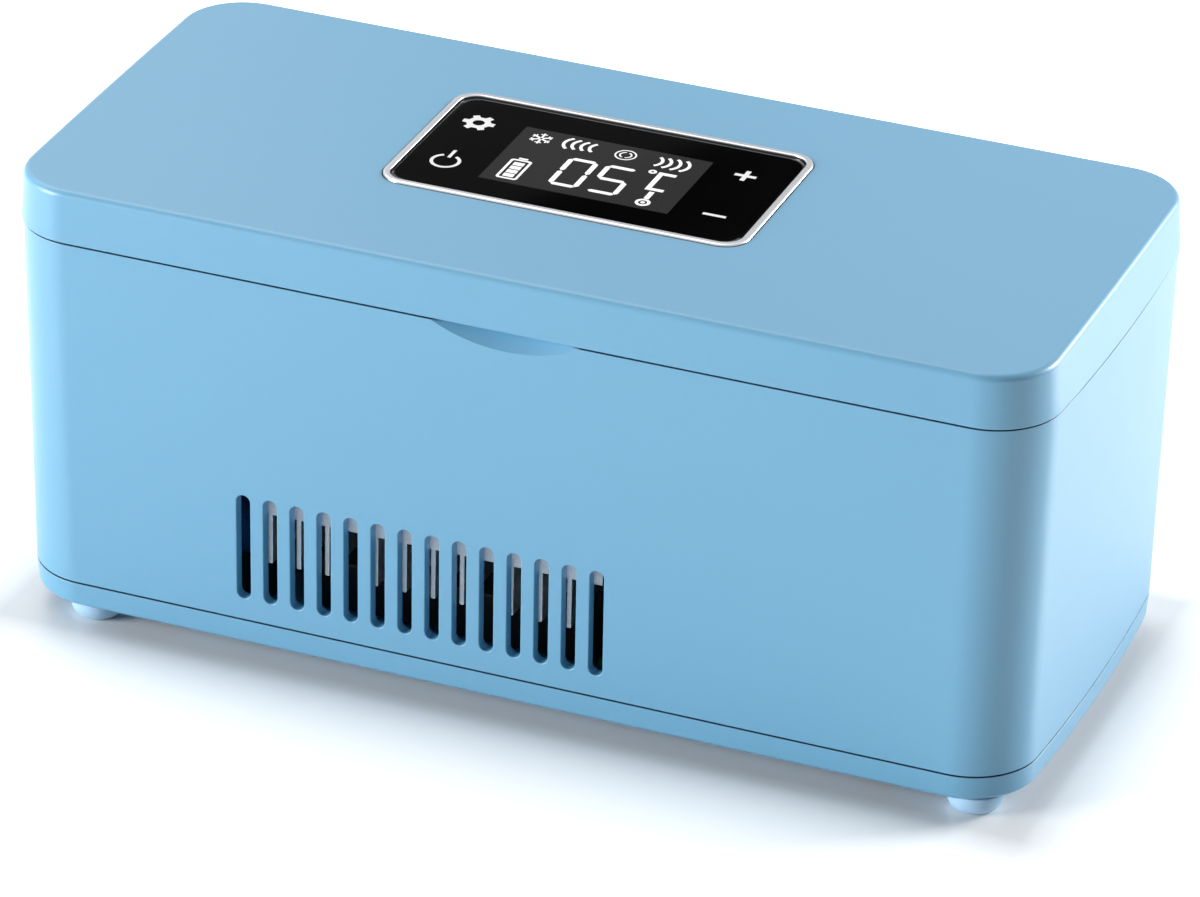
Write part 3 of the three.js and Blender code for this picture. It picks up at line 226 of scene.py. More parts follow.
def soft_box(name, turn, rise, size, power):
    """A square lamp; turn goes round the case from its right side, rise goes up, both in degrees."""
    data = bpy.data.lights.new(name, "AREA")
    data.shape = "SQUARE"
    data.size = size
    data.energy = power
    lamp = bpy.data.objects.new(name, data)
    a, e = math.radians(turn), math.radians(rise)
    way = Vector((math.cos(a) * math.cos(e), math.sin(a) * math.cos(e), math.sin(e)))
    lamp.location = CASE_MIDDLE + BOX_REACH * way
    lamp.rotation_euler = way.to_track_quat("Z", "Y").to_euler()
    bpy.context.scene.collection.objects.link(lamp)


soft_box("key_box", -141, 12, 0.6, 25)
soft_box("right_rear_box", 43, 20, 0.6, 27)
soft_box("top_box", 150, 58, 1.2, 12)

# %% [markdown]
# The panel glass mirrors what hangs over the lid. In the photograph that is dark, with one
# straight edge between dark grey and black. So a card hangs there that only mirror-like rays
# meet. A point on the glass is traced to the card along the ray that the lens sees reflected.

# %% The card over the glass
CARD_Z = 0.34
GLASS_LEVEL = 91.1 * MM
CARD_REACH = 0.07
EDGE_REAR = Vector((11.1, 20.5)) * MM
EDGE_FRONT = Vector((-9.5, -15.6)) * MM
CARD_GREY = 0.05

mirrored_lens = Vector((CAMERA_PLACE.x, CAMERA_PLACE.y, 2 * GLASS_LEVEL - CAMERA_PLACE.z))


def on_card(glass_point):
    way = glass_point.to_3d() + Vector((0, 0, GLASS_LEVEL)) - mirrored_lens
    return mirrored_lens + way * (CARD_Z - mirrored_lens.z) / way.z


edge_middle = (on_card(EDGE_REAR) + on_card(EDGE_FRONT)) / 2
edge_way = (on_card(EDGE_REAR) - on_card(EDGE_FRONT)).normalized() * CARD_REACH
card_side = Vector((edge_way.y, -edge_way.x, 0))
card_points = [edge_middle + step * card_side + end * edge_way for step in (-1, 0, 1) for end in (-1, 1)]
card = plain_mesh("card", card_points, [(0, 1, 3, 2), (2, 3, 5, 4)])
for name, glow in (("card_grey", CARD_GREY), ("card_black", 0.0)):
    card_finish = new_material(name, Base_Color=(0, 0, 0, 1), Specular_IOR_Level=0.0,
                               Emission_Color=WHITE, Emission_Strength=glow)[0]
    card.data.materials.append(card_finish)
card.data.polygons[1].material_index = 1
card.visible_camera = False
card.visible_diffuse = False
card.visible_shadow = False
card.visible_transmission = False
print("card over the glass at", [round(v, 3) for v in edge_middle])

# %% [markdown]
# ## Sizes
# These are the same sizes as in the part's source. All places are counted from the middle of
# the case, at the level of the feet's soles, and a finished mesh is moved by CASE_Y at the end,
# because the hinge makes the whole object reach a little further back than its middle.

# %% Sizes of the case
CASE_Y = -1.3 * MM
LENGTH = 200 * MM
DEPTH = 92 * MM
BASE_Z = 4 * MM
BAND_Z = 9.1 * MM
SEAM_Z = 80.4 * MM
TOP_Z = 91.2 * MM
CORNER = 12.2 * MM
END_BOW = 2 * MM
TOP_BOW = 0.15 * MM
LID_TOP_INSET = 0.1 * MM
BODY_INSET = 0.3 * MM
BODY_TAPER = 0.97 * MM
BOTTOM_INSET = 0.3 * MM
BOTTOM_CHAMFER = 0.8 * MM
TOP_FILLET = 1.3 * MM
WALL = 2.2 * MM
GAP = 0.3 * MM
SEAT = 0.1 * MM
BITE = 0.5 * MM
LIP = 0.14 * MM
LID_LIP = 0.4 * MM
FLOOR_Z = BASE_Z + WALL
CEILING_Z = TOP_Z - WALL
LID_Z = SEAM_Z + GAP
REAR_Y = DEPTH / 2
THERMAL_X = -16.8 * MM

# %% [markdown]
# ## Making solids from outlines
# A moulded cover is a plan outline that changes a little from level to level. So we make one
# by lofting: each level is an outline, a height and a rounding radius. Every column of points
# is rounded where it turns, which gives the small radii that catch the light on moulded edges.

# %% Outlines
CORNER_STEPS = 14
END_STEPS = 20


def plan_outline(half_length, half_depth, radius, bow=0.0, corner_steps=CORNER_STEPS, end_steps=END_STEPS):
    """A rectangle with round corners, whose short ends swell by bow."""
    points = []
    for corner, (sx, sy) in enumerate(((1, 1), (-1, 1), (-1, -1), (1, -1))):
        cx = sx * (half_length - radius)
        cy = sy * (half_depth - radius)
        for i in range(corner_steps + 1):
            angle = (corner + i / corner_steps) * math.pi / 2
            points.append((cx + radius * math.cos(angle), cy + radius * math.sin(angle)))
        if sx * sy < 0:
            points += [(sx * half_length, cy * (1 - 2 * i / end_steps)) for i in range(1, end_steps)]
    return [(x + bow * x / half_length * (1 - (y / half_depth) ** 2), y) for x, y in points]


def plate_outline(length, depth, radius, x=0.0, y=0.0, steps=10):
    outline = plan_outline(length / 2, depth / 2, radius, 0.0, steps, 1)
    return [(px + x, py + y) for px, py in outline]


def upright(length, depth, radius, x=0.0, y=0.0):
    """An outline function, as body_outline is, for a plan that is the same at every height."""
    return lambda z, inset: plate_outline(length - 2 * inset, depth - 2 * inset, radius - inset, x, y)


def circle(radius, sides, x=0.0, y=0.0):
    angles = [2 * math.pi * i / sides for i in range(sides)]
    return [(x + radius * math.cos(a), y + radius * math.sin(a)) for a in angles]


def body_reach(z):
    if z >= BAND_Z:
        return BODY_INSET + (SEAM_Z - z) / (SEAM_Z - BAND_Z) * BODY_TAPER
    return BODY_INSET + BODY_TAPER + (BAND_Z - z) / (BAND_Z - BASE_Z) * BOTTOM_INSET


def body_outline(z, inset=0.0):
    reach = body_reach(z) + inset
    return plan_outline(LENGTH / 2 - reach, DEPTH / 2 - reach, CORNER - inset, END_BOW)


def lid_outline(z, inset=0.0):
    share = (z - SEAM_Z) / (TOP_Z - SEAM_Z)
    reach = LID_TOP_INSET * share + inset
    bow = END_BOW + (TOP_BOW - END_BOW) * share
    return plan_outline(LENGTH / 2 - reach, DEPTH / 2 - reach, CORNER - inset, bow)


print("points in a body outline:", len(body_outline(BAND_Z)))


# %% Lofts and simple solids
def rounded_turn(before, corner, after, radius, steps):
    """Points of a circular round between two straight runs."""
    if radius == 0:
        return [corner]
    into = (before - corner).normalized()
    out = (after - corner).normalized()
    half = into.angle(out) / 2
    longest = 0.49 * min((before - corner).length, (after - corner).length)
    reach = min(radius / math.tan(half), longest)
    weight = math.sin(half)
    points = []
    for i in range(steps + 1):
        s = i / steps
        a, b, c = (1 - s) ** 2, 2 * s * (1 - s) * weight, s**2
        total = a + b + c
        points.append((a * (corner + into * reach) + b * corner + c * (corner + out * reach)) / total)
    return points


def lofted(levels, closed=False, steps=4):
    """Points and faces of a solid through levels of (outline, height, rounding)."""
    columns = []
    for column in zip(*(outline for outline, _, _ in levels)):
        line = [Vector((x, y, levels[k][1])) for k, (x, y) in enumerate(column)]
        rounded = []
        for k, point in enumerate(line):
            if not closed and k in (0, len(line) - 1):
                rounded.append(point)
            else:
                after = line[(k + 1) % len(line)]
                rounded += rounded_turn(line[k - 1], point, after, levels[k][2], steps)
        columns.append(rounded)
    count, rows = len(columns), len(columns[0])
    points = [columns[i][row] for row in range(rows) for i in range(count)]
    faces = []
    for row in range(rows if closed else rows - 1):
        low, high = row * count, (row + 1) % rows * count
        for i in range(count):
            j = (i + 1) % count
            faces.append((low + i, low + j, high + j, high + i))
    if not closed:
        faces.append(tuple(reversed(range(count))))
        faces.append(tuple(range((rows - 1) * count, rows * count)))
    return points, faces


def loft_by(outline, *rows, **options):
    """Lofts rows of (height, inset, rounding); outline gives the plan at a height and an inset."""
    return lofted([(outline(z, inset), z, rounding) for z, inset, rounding in rows], **options)


def straight(outline, inset, z0, z1):
    return loft_by(outline, (z0, inset, 0), (z1, inset, 0))


def prism(outline, z0, z1):
    return lofted([(outline, z0, 0), (outline, z1, 0)])


def slab(edge, cap, z0, z1, rounding):
    """A plate with rounded edges; cap is the smaller outline that its flat faces start from."""
    return lofted([(cap, z0, 0), (edge, z0, rounding), (edge, z1, rounding), (cap, z1, 0)])


def turned(profile, sides=32):
    """A solid of revolution about the z axis: profile is a list of (radius, height, rounding)."""
    return lofted([(circle(radius, sides), z, rounding) for radius, z, rounding in profile])


def post(radius, x, y, z0, z1, sides=32):
    return prism(circle(radius, sides, x, y), z0, z1)


def posts(radius, places, z0, z1, sides=32):
    return [post(radius, x, y, z0, z1, sides) for x, y in places]


def box(x0, x1, y0, y1, z0, z1):
    return prism([(x0, y0), (x1, y0), (x1, y1), (x0, y1)], z0, z1)


def moved(shape, matrix):
    points, faces = shape
    return [matrix @ point for point in points], faces


def bar_x(radius, x0, x1, y, z, sides, rounding):
    """A round bar along the x axis."""
    bar = turned([(radius * 0.5, 0, 0), (radius, 0, rounding), (radius, x1 - x0, rounding),
                  (radius * 0.5, x1 - x0, 0)], sides)
    return moved(bar, Matrix.Translation((x0, y, z)) @ Matrix.Rotation(math.pi / 2, 4, "Y"))


def bar_y(radius, y0, y1, x, z, sides):
    """A round bar along the y axis."""
    bar = post(radius, 0, 0, 0, y1 - y0, sides)
    return moved(bar, Matrix.Translation((x, y1, z)) @ Matrix.Rotation(math.pi / 2, 4, "X"))


def solid(name, *shapes):
    """One object from several shapes."""
    points, faces = [], []
    for shape_points, shape_faces in shapes:
        start = len(points)
        points += shape_points
        faces += [tuple(start + i for i in face) for face in shape_faces]
    return plain_mesh(name, points, faces)


# %% [markdown]
# Holes, bosses and knuckles are cut or joined with Boolean modifiers. After each one we keep the
# evaluated mesh and drop the modifier, so the piece stays a plain mesh. A cutter reaches a
# millimetre past what it cuts, and an added part starts inside what it stands on (by BITE on thin
# plates), so that no two faces lie in one plane.


# %% Cutting, joining and finishing
def keep_result(piece):
    bpy.context.view_layer.update()
    evaluated = piece.evaluated_get(bpy.context.evaluated_depsgraph_get())
    result = bpy.data.meshes.new_from_object(evaluated)
    piece.modifiers.clear()
    piece.data = result


def carve(piece, cutter, operation="DIFFERENCE", overlapping=False):
    boolean = piece.modifiers.new("carve", "BOOLEAN")
    boolean.operation = operation
    boolean.solver = "EXACT"
    boolean.use_self = overlapping
    boolean.object = cutter
    keep_result(piece)
    bpy.data.objects.remove(cutter)


def weld_on(piece, added):
    carve(piece, added, "UNION", overlapping=True)


def cut(piece, name, *shapes):
    carve(piece, solid(name, *shapes))


def join(piece, name, *shapes):
    weld_on(piece, solid(name, *shapes))


SHARP_ANGLE = math.radians(32)


def finish_piece(piece, body, finish, nodes=(), sharp=SHARP_ANGLE):
    """Shades a piece, moves it to the frame's place and lets it ride on its body."""
    mesh = piece.data
    mesh.transform(Matrix.Translation((0, CASE_Y, 0)))
    mesh.shade_smooth()
    mesh.set_sharp_from_angle(angle=sharp)
    even = piece.modifiers.new("even_normals", "WEIGHTED_NORMAL")
    even.keep_sharp = True
    keep_result(piece)
    piece.data.materials.clear()
    piece.data.materials.append(finish)
    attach(piece, body)
    if nodes:
        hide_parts(*nodes)
    print(f"{piece.name}: {len(piece.data.polygons)} faces on {body}")


# %% [markdown]
# ## Copies by rule
# Geometry Nodes repeat what repeats. One tree sets copies in a row, one round an axis, and one on
# the four corners of a rectangle. Each takes the object's own mesh as the thing to copy, and
# ends by making the copies real and giving them their material.


# %% A frame for the trees
def new_tree(name, *sockets):
    """A tree with its own sockets, each a name and a kind; gives the tree and its inputs' values."""
    tree = bpy.data.node_groups.new(name, "GeometryNodeTree")
    for socket_name, kind in (("Geometry", "Geometry"), *sockets, ("Material", "Material")):
        tree.interface.new_socket(socket_name, in_out="INPUT", socket_type="NodeSocket" + kind)
    tree.interface.new_socket("Geometry", in_out="OUTPUT", socket_type="NodeSocketGeometry")
    return tree, tree.nodes.new("NodeGroupInput").outputs


def end_tree(tree, given, points, **options):
    """Copies the input geometry to the points, makes it real and gives it the material."""
    copies = add_node(tree, "GeometryNodeInstanceOnPoints", Points=points,
                      Instance=given["Geometry"], **options)
    real = add_node(tree, "GeometryNodeRealizeInstances", Geometry=copies.outputs["Instances"])
    dressed = add_node(tree, "GeometryNodeSetMaterial", Geometry=real.outputs["Geometry"],
                       Material=given["Material"])
    add_node(tree, "NodeGroupOutput", Geometry=dressed.outputs["Geometry"])


def copy_by(piece, tree, material, **values):
    """Runs a tree on a piece with the named inputs, and keeps the result."""
    modifier = piece.modifiers.new(tree.name, "NODES")
    modifier.node_group = tree
    names = {item.name: item.identifier for item in tree.interface.items_tree if item.in_out == "INPUT"}
    for name, value in {**values, "Material": material}.items():
        modifier[names[name]] = value
    keep_result(piece)


# %% The row tree
row_tree, row_given = new_tree("row", ("Count", "Int"), ("Pitch", "Float"))
row_steps = math_node(row_tree, "SUBTRACT", row_given["Count"], 1)
row_half = math_node(row_tree, "MULTIPLY", row_steps, -0.5)
row_start = math_node(row_tree, "MULTIPLY", row_half, row_given["Pitch"])
row_first = add_node(row_tree, "ShaderNodeCombineXYZ", X=row_start)
row_offset = add_node(row_tree, "ShaderNodeCombineXYZ", X=row_given["Pitch"])
row_line = add_node(row_tree, "GeometryNodeMeshLine", Count=row_given["Count"],
                    Start_Location=row_first.outputs[0], Offset=row_offset.outputs[0])
end_tree(row_tree, row_given, row_line.outputs["Mesh"])

# %% The ring tree
ring_tree, ring_given = new_tree("ring", ("Count", "Int"))
ring_points = add_node(ring_tree, "GeometryNodeMeshLine", Count=ring_given["Count"], Offset=(0, 0, 0))
ring_step = math_node(ring_tree, "DIVIDE", 2 * math.pi, ring_given["Count"])
ring_index = ring_tree.nodes.new("GeometryNodeInputIndex").outputs[0]
ring_angle = math_node(ring_tree, "MULTIPLY", ring_index, ring_step)
ring_turn = add_node(ring_tree, "ShaderNodeCombineXYZ", Z=ring_angle)
end_tree(ring_tree, ring_given, ring_points.outputs["Mesh"], Rotation=ring_turn.outputs[0])

# %% The corners tree
corner_tree, corner_given = new_tree(
    "corners", ("Length", "Float"), ("Depth", "Float"), ("Middle", "Vector"))
corner_grid = add_node(corner_tree, "GeometryNodeMeshGrid", Vertices_X=2, Vertices_Y=2,
                       Size_X=corner_given["Length"], Size_Y=corner_given["Depth"])
corner_shift = add_node(corner_tree, "GeometryNodeTransform", Geometry=corner_grid.outputs["Mesh"],
                        Translation=corner_given["Middle"])
end_tree(corner_tree, corner_given, corner_shift.outputs["Geometry"])
print("trees:", [tree.name for tree in bpy.data.node_groups])

# %% [markdown]
# ## Finishes
# Every finish is built from nodes. Three effects come back in many of them, so each is a node
# group: the fine grain of moulded plastic, the drawn lines of brushed metal, and edges that are a
# touch lighter where they were handled, with painted shade that darkens the colour deep in a seam.
# Patterns use Object coordinates, so they stay on the piece.


# %% Group helpers
def paint(red, green, blue):
    """An sRGB colour, 0 to 255, as Blender's linear colour."""
    def linear(value):
        share = value / 255
        return share / 12.92 if share <= 0.04045 else ((share + 0.055) / 1.055) ** 2.4
    return (linear(red), linear(green), linear(blue), 1.0)


def new_group(name, inputs, outputs):
    """A shader group; gives the group, its inputs' values and the sockets of its results."""
    group = bpy.data.node_groups.new(name, "ShaderNodeTree")
    for socket_name, kind, value in inputs:
        socket = group.interface.new_socket(socket_name, in_out="INPUT", socket_type="NodeSocket" + kind)
        socket.default_value = value
    for socket_name, kind in outputs:
        group.interface.new_socket(socket_name, in_out="OUTPUT", socket_type="NodeSocket" + kind)
    return group, group.nodes.new("NodeGroupInput").outputs, group.nodes.new("NodeGroupOutput").inputs


def noise_on(tree, place, scale, detail=2.0):
    return add_node(tree, "ShaderNodeTexNoise", Vector=place, Scale=scale, Detail=detail).outputs["Fac"]


def around(tree, middle, spread, noise):
    """middle plus or minus spread, as the noise goes from low to high."""
    centred = math_node(tree, "SUBTRACT", noise, 0.5)
    return math_node(tree, "ADD", middle, math_node(tree, "MULTIPLY", centred, spread))


def fill_skin(group, given, results, tint_noise, rough_noise, height):
    """Feeds a skin's results: colour and roughness that vary with their noise, and the height."""
    tint = around(group, 1.0, given["Variation"], tint_noise)
    feed(group, results["Color"], vector_math(group, "SCALE", given["Color"], Scale=tint))
    rough = around(group, given["Roughness"], given["Patches"], rough_noise)
    feed(group, results["Roughness"], rough)
    feed(group, results["Height"], height)


MID_GREY = (0.5, 0.5, 0.5, 1)
SKIN_SOCKETS = [
    ("Color", "Color", MID_GREY),
    ("Roughness", "Float", 0.4),
    ("Variation", "Float", 0.03),
    ("Grain", "Float", 2500.0),
    ("Patches", "Float", 0.06),
    ("Stretch", "Vector", (1.0, 1.0, 1.0)),
]
SKIN_RESULTS = [("Color", "Color"), ("Roughness", "Float"), ("Height", "Float")]
CLOUDS_PER_METRE = 16.0
PATCHES_PER_METRE = 140.0

# %% The moulded skin group
moulded, moulded_given, moulded_results = new_group("moulded_skin", SKIN_SOCKETS, SKIN_RESULTS)
moulded_place = object_place(moulded)
clouds = noise_on(moulded, moulded_place, CLOUDS_PER_METRE)
patches = noise_on(moulded, moulded_place, PATCHES_PER_METRE, 4.0)
grain = noise_on(moulded, moulded_place, moulded_given["Grain"], 3.0)
fill_skin(moulded, moulded_given, moulded_results, clouds, patches, grain)

# %% The brushed metal group
brushed, brushed_given, brushed_results = new_group("brushed_metal", SKIN_SOCKETS, SKIN_RESULTS)
brushed_place = object_place(brushed)
drawn_place = vector_math(brushed, "MULTIPLY", brushed_place, brushed_given["Stretch"])
drawn_lines = noise_on(brushed, drawn_place, brushed_given["Grain"], 4.0)
stains = noise_on(brushed, brushed_place, PATCHES_PER_METRE, 3.0)
fill_skin(brushed, brushed_given, brushed_results, drawn_lines, stains, drawn_lines)

# %% The edge wear and painted seam shade group
SEAM_SHADE_REACH = 0.6 * MM
SEAM_SHADE_DARKNESS = 2.0
wear_and_shade, wear_and_shade_given, wear_and_shade_results = new_group(
    "edge_wear_and_seam_shade",
    [("Color", "Color", MID_GREY), ("Lift", "Float", 0.12), ("Radius", "Float", 0.3 * MM)],
    [("Color", "Color")],
)
soft_normal = add_node(wear_and_shade, "ShaderNodeBevel", samples=4, Radius=wear_and_shade_given["Radius"]).outputs[0]
true_normal = wear_and_shade.nodes.new("ShaderNodeNewGeometry").outputs["Normal"]
edge = math_node(wear_and_shade, "SUBTRACT", 1.0, vector_math(wear_and_shade, "DOT_PRODUCT", soft_normal, true_normal))
edge_lift = math_node(wear_and_shade, "MULTIPLY", edge, wear_and_shade_given["Lift"])
# Painted shade: the colour darkens where another surface is close, as in the seam between lid and body.
seam_occlusion = add_node(wear_and_shade, "ShaderNodeAmbientOcclusion", samples=4, Distance=SEAM_SHADE_REACH)
seam_shade_factor = math_node(wear_and_shade, "POWER", seam_occlusion.outputs["AO"], SEAM_SHADE_DARKNESS)
wear_and_shade_level = math_node(wear_and_shade, "MULTIPLY", math_node(wear_and_shade, "ADD", 1.0, edge_lift), seam_shade_factor)
worn_and_shaded_color = vector_math(wear_and_shade, "SCALE", wear_and_shade_given["Color"], Scale=wear_and_shade_level)
feed(wear_and_shade, wear_and_shade_results["Color"], worn_and_shaded_color)
print("node groups ready:", moulded.name, brushed.name, wear_and_shade.name)

# %% [markdown]
# A finish is one material: a Principled shader fed by a skin group. Its plain values, such as
# metalness and coat, are set on the shader itself, and the grain goes through one Bump node.


# %% Making a finish
def finish(name, color, roughness, group=moulded, bump=0.15, depth=0.02, metallic=0.0, coat=0.0,
           coat_roughness=0.1, edges=0.0, **values):
    """bump is the grain's strength, depth its height in mm, edges the lift of handled edges, which also
    brings painted shade deep in seams.
    """
    material, tree, shader = new_material(
        name, Metallic=metallic, Coat_Weight=coat, Coat_Roughness=coat_roughness)
    skin = add_node(tree, "ShaderNodeGroup", node_tree=group, Color=paint(*color),
                    Roughness=roughness, **values)
    result = skin.outputs["Color"]
    if edges:
        wear_and_shade_node = add_node(tree, "ShaderNodeGroup", node_tree=wear_and_shade, Lift=edges, Color=result)
        result = wear_and_shade_node.outputs["Color"]
    relief = add_node(tree, "ShaderNodeBump", Strength=bump, Distance=depth * MM,
                      Height=skin.outputs["Height"])
    feed(tree, shader.inputs["Base Color"], result)
    feed(tree, shader.inputs["Roughness"], skin.outputs["Roughness"])
    feed(tree, shader.inputs["Normal"], relief.outputs["Normal"])
    return material


# %% Plastics and rubber
blue_shell = finish("blue_shell", (104, 166, 201), 0.42, Variation=0.02, Patches=0.05, Grain=3200.0,
                    bump=0.12, depth=0.015, coat=0.45, coat_roughness=0.3, edges=0.2)
pale_foot = finish("pale_foot", (168, 206, 234), 0.5, Variation=0.04, Grain=1800.0, bump=0.2)
white_liner = finish("white_liner", (226, 231, 235), 0.42, Variation=0.02, Grain=2600.0, bump=0.15,
                     edges=0.1)
dark_abs = finish("dark_abs", (30, 31, 34), 0.5, Variation=0.1, Grain=2200.0, bump=0.25, edges=0.8)
seal_rubber = finish("seal_rubber", (74, 79, 85), 0.62, Variation=0.08, Grain=1500.0, bump=0.25)
cable_skin = finish("cable_skin", (52, 54, 58), 0.55, Variation=0.08, Grain=1900.0, bump=0.2)
cell_wrap = finish("cell_wrap", (47, 111, 181), 0.32, Variation=0.05, Grain=700.0, bump=0.1, coat=0.4)
bead_foam = finish("bead_foam", (238, 238, 233), 0.85, Variation=0.05, Grain=420.0, bump=0.7, depth=0.3)
ceramic = finish("ceramic", (232, 232, 226), 0.5, Variation=0.03, Grain=1800.0, bump=0.2)
board_lacquer = finish("board_lacquer", (24, 82, 52), 0.3, Variation=0.25, Grain=900.0, bump=0.3, coat=0.5)
lcd_body = finish("lcd_body", (40, 42, 46), 0.3, Variation=0.05, Grain=1500.0, bump=0.1)

# %% Metals
silver_trim = finish("silver_trim", (200, 202, 206), 0.3, brushed, metallic=1.0, bump=0.06, depth=0.01,
                     edges=0.3, Variation=0.06, Grain=900.0, Patches=0.05, Stretch=(1.0, 1.0, 0.2))
drawn_aluminium = finish("drawn_aluminium", (236, 238, 241), 0.4, brushed, metallic=1.0, bump=0.15,
                         edges=0.4, Variation=0.16, Grain=500.0, Patches=0.1, Stretch=(3.0, 0.08, 3.0))
chamber_aluminium = finish("chamber_aluminium", (176, 180, 184), 0.42, brushed, metallic=1.0, bump=0.12,
                           edges=0.3, Variation=0.1, Grain=600.0, Patches=0.08, Stretch=(0.06, 2.0, 2.0))
zinc_steel = finish("zinc_steel", (168, 171, 176), 0.34, brushed, metallic=1.0, bump=0.12,
                    edges=0.5, Variation=0.12, Grain=700.0, Patches=0.1)
print("finishes:", len(bpy.data.materials))

# %% [markdown]
# The heat sink is sawn from a drawn bar. Its sawn front and rear ends are matt and pale, and its
# drawn faces are smooth. The sawn ends are where the surface looks along the y axis, so the
# surface's own direction is the mask between the two roughnesses.

# %% Sawn ends
SAWN_ROUGHNESS = 0.9
SAWN_FROM = 0.9

sink_tree = drawn_aluminium.node_tree
sink_roughness = sink_tree.nodes["Principled BSDF"].inputs["Roughness"]
sink_normal = sink_tree.nodes.new("ShaderNodeTexCoord").outputs["Normal"]
sink_axes = add_node(sink_tree, "ShaderNodeSeparateXYZ", sink_normal)
looks_along_y = math_node(sink_tree, "ABSOLUTE", sink_axes.outputs["Y"])
sawn = math_node(sink_tree, "GREATER_THAN", looks_along_y, SAWN_FROM)
drawn_roughness = sink_roughness.links[0].from_socket
sawn_mix = add_node(sink_tree, "ShaderNodeMix", Factor=sawn, A=drawn_roughness, B=SAWN_ROUGHNESS)
feed(sink_tree, sink_roughness, sawn_mix.outputs["Result"])
print("sawn ends on:", drawn_aluminium.name)

# %% [markdown]
# The panel glass is black from behind, with one clear window for the display. So its material is a
# gloss black that turns dark grey inside the window, with the faint raster of the display.

# %% The panel glass
WINDOW = (-21.1 * MM, 16.2 * MM, -8.6 * MM, 15.0 * MM)
RASTER_PER_METRE = 2600.0
SMEARS_PER_METRE = 90.0
GLASS_ROUGHNESS, GLASS_SMEAR = 0.05, 0.03

panel_black, glass_tree, glass_shader = new_material("panel_black")
glass_place = object_place(glass_tree)
glass_axes = add_node(glass_tree, "ShaderNodeSeparateXYZ", glass_place).outputs
inside = math_node(glass_tree, "GREATER_THAN", glass_axes["X"], WINDOW[0])
for operation, axis, limit in (("LESS_THAN", "X", WINDOW[1]), ("GREATER_THAN", "Y", WINDOW[2] + CASE_Y),
                               ("LESS_THAN", "Y", WINDOW[3] + CASE_Y)):
    within = math_node(glass_tree, operation, glass_axes[axis], limit)
    inside = math_node(glass_tree, "MULTIPLY", inside, within)
raster = add_node(glass_tree, "ShaderNodeTexChecker", Vector=glass_place, Scale=RASTER_PER_METRE,
                  Color1=paint(58, 58, 59), Color2=paint(54, 54, 55))
glass_color = add_node(glass_tree, "ShaderNodeMix", data_type="RGBA", Factor=inside,
                       A=paint(6, 6, 7), B=raster.outputs["Color"])
smears = noise_on(glass_tree, glass_place, SMEARS_PER_METRE, 5.0)
smeared = around(glass_tree, GLASS_ROUGHNESS, GLASS_SMEAR, smears)
feed(glass_tree, glass_shader.inputs["Base Color"], glass_color.outputs["Result"])
feed(glass_tree, glass_shader.inputs["Roughness"], smeared)


# %% Printed and lit signs
def sign_finish(name, color, glow):
    material = finish(name, color, 0.4, Variation=0.05, Grain=4000.0, bump=0.05)
    inputs = material.node_tree.nodes["Principled BSDF"].inputs
    inputs["Emission Color"].default_value = WHITE
    inputs["Emission Strength"].default_value = glow
    return material


key_print = sign_finish("key_print", (240, 240, 240), 0.0)
lit_segment = sign_finish("lit_segment", (235, 236, 238), 0.25)
print("signs:", key_print.name, lit_segment.name)

# %% [markdown]
# ## The body
# The body is one thin moulding: walls that taper a little downwards, with a small radius on both
# lips. Its ring of walls is a closed loft, outside up and inside down. The same knuckles, bosses
# and brackets as in the CAD model are joined on, and then the openings are cut.

# %% Sizes of the hinge
KNUCKLE = 2.6 * MM
KNUCKLE_LENGTH = 8 * MM
KNUCKLE_GAP = 0.4 * MM
KNUCKLE_STEP = KNUCKLE_LENGTH + KNUCKLE_GAP
HINGE_X = 60 * MM
PIN = 1 * MM
PIN_PLAY = 0.1 * MM
CABLE_X = 34 * MM
CABLE_ELBOW = 5 * MM
CABLE_BORE = 1.35 * MM
CABLE_ENTRY = 5.4 * MM
KNUCKLE_SIDES = 48
HOLE_SIDES = 24
body_knuckle_places = [sx * HINGE_X + step * KNUCKLE_STEP for sx in (-1, 1) for step in (-1, 1)]
body_knuckle_places.append(CABLE_X + KNUCKLE_STEP / 2)
lid_knuckle_places = [-HINGE_X, HINGE_X, CABLE_X - KNUCKLE_STEP / 2]


def knuckles(places):
    half = KNUCKLE_LENGTH / 2
    return [bar_x(KNUCKLE, x - half, x + half, REAR_Y, SEAM_Z, KNUCKLE_SIDES, LIP) for x in places]


def hinge_rod(x, radius, half, sides=HOLE_SIDES):
    """A rod on the hinge's axis, from half before x to half after it."""
    points, faces = post(radius, REAR_Y, SEAM_Z, x - half, x + half, sides)
    return [Vector((p.z, p.x, p.y)) for p in points], faces


def knuckle_reliefs(places):
    half = KNUCKLE_LENGTH / 2 + KNUCKLE_GAP
    return [hinge_rod(x, KNUCKLE + GAP, half, KNUCKLE_SIDES) for x in places]


def cut_cable_way(piece, up):
    """Cuts the hollow that leads the display cable from the hinge into a half; up is 1 in the lid."""
    elbow_x = CABLE_X - up * CABLE_ELBOW
    end_x = CABLE_X + up * MM
    half = abs(end_x - elbow_x) / 2 + CABLE_BORE / 2
    cut(piece, "cable_bore", hinge_rod((elbow_x + end_x) / 2, CABLE_BORE, half))
    slant = post(CABLE_BORE, 0, 0, 0, CABLE_ENTRY * math.sqrt(2), HOLE_SIDES)
    turn = Matrix.Rotation(math.radians(45 if up > 0 else 135), 4, "X")
    cut(piece, "cable_bore", moved(slant, Matrix.Translation((elbow_x, REAR_Y, SEAM_Z)) @ turn))


bore_half = KNUCKLE_LENGTH / 2 + KNUCKLE_STEP + MM
pin_bores = [hinge_rod(x, PIN + PIN_PLAY, bore_half) for x in (-HINGE_X, HINGE_X)]
print("knuckles:", len(body_knuckle_places), "on the body,", len(lid_knuckle_places), "on the lid")

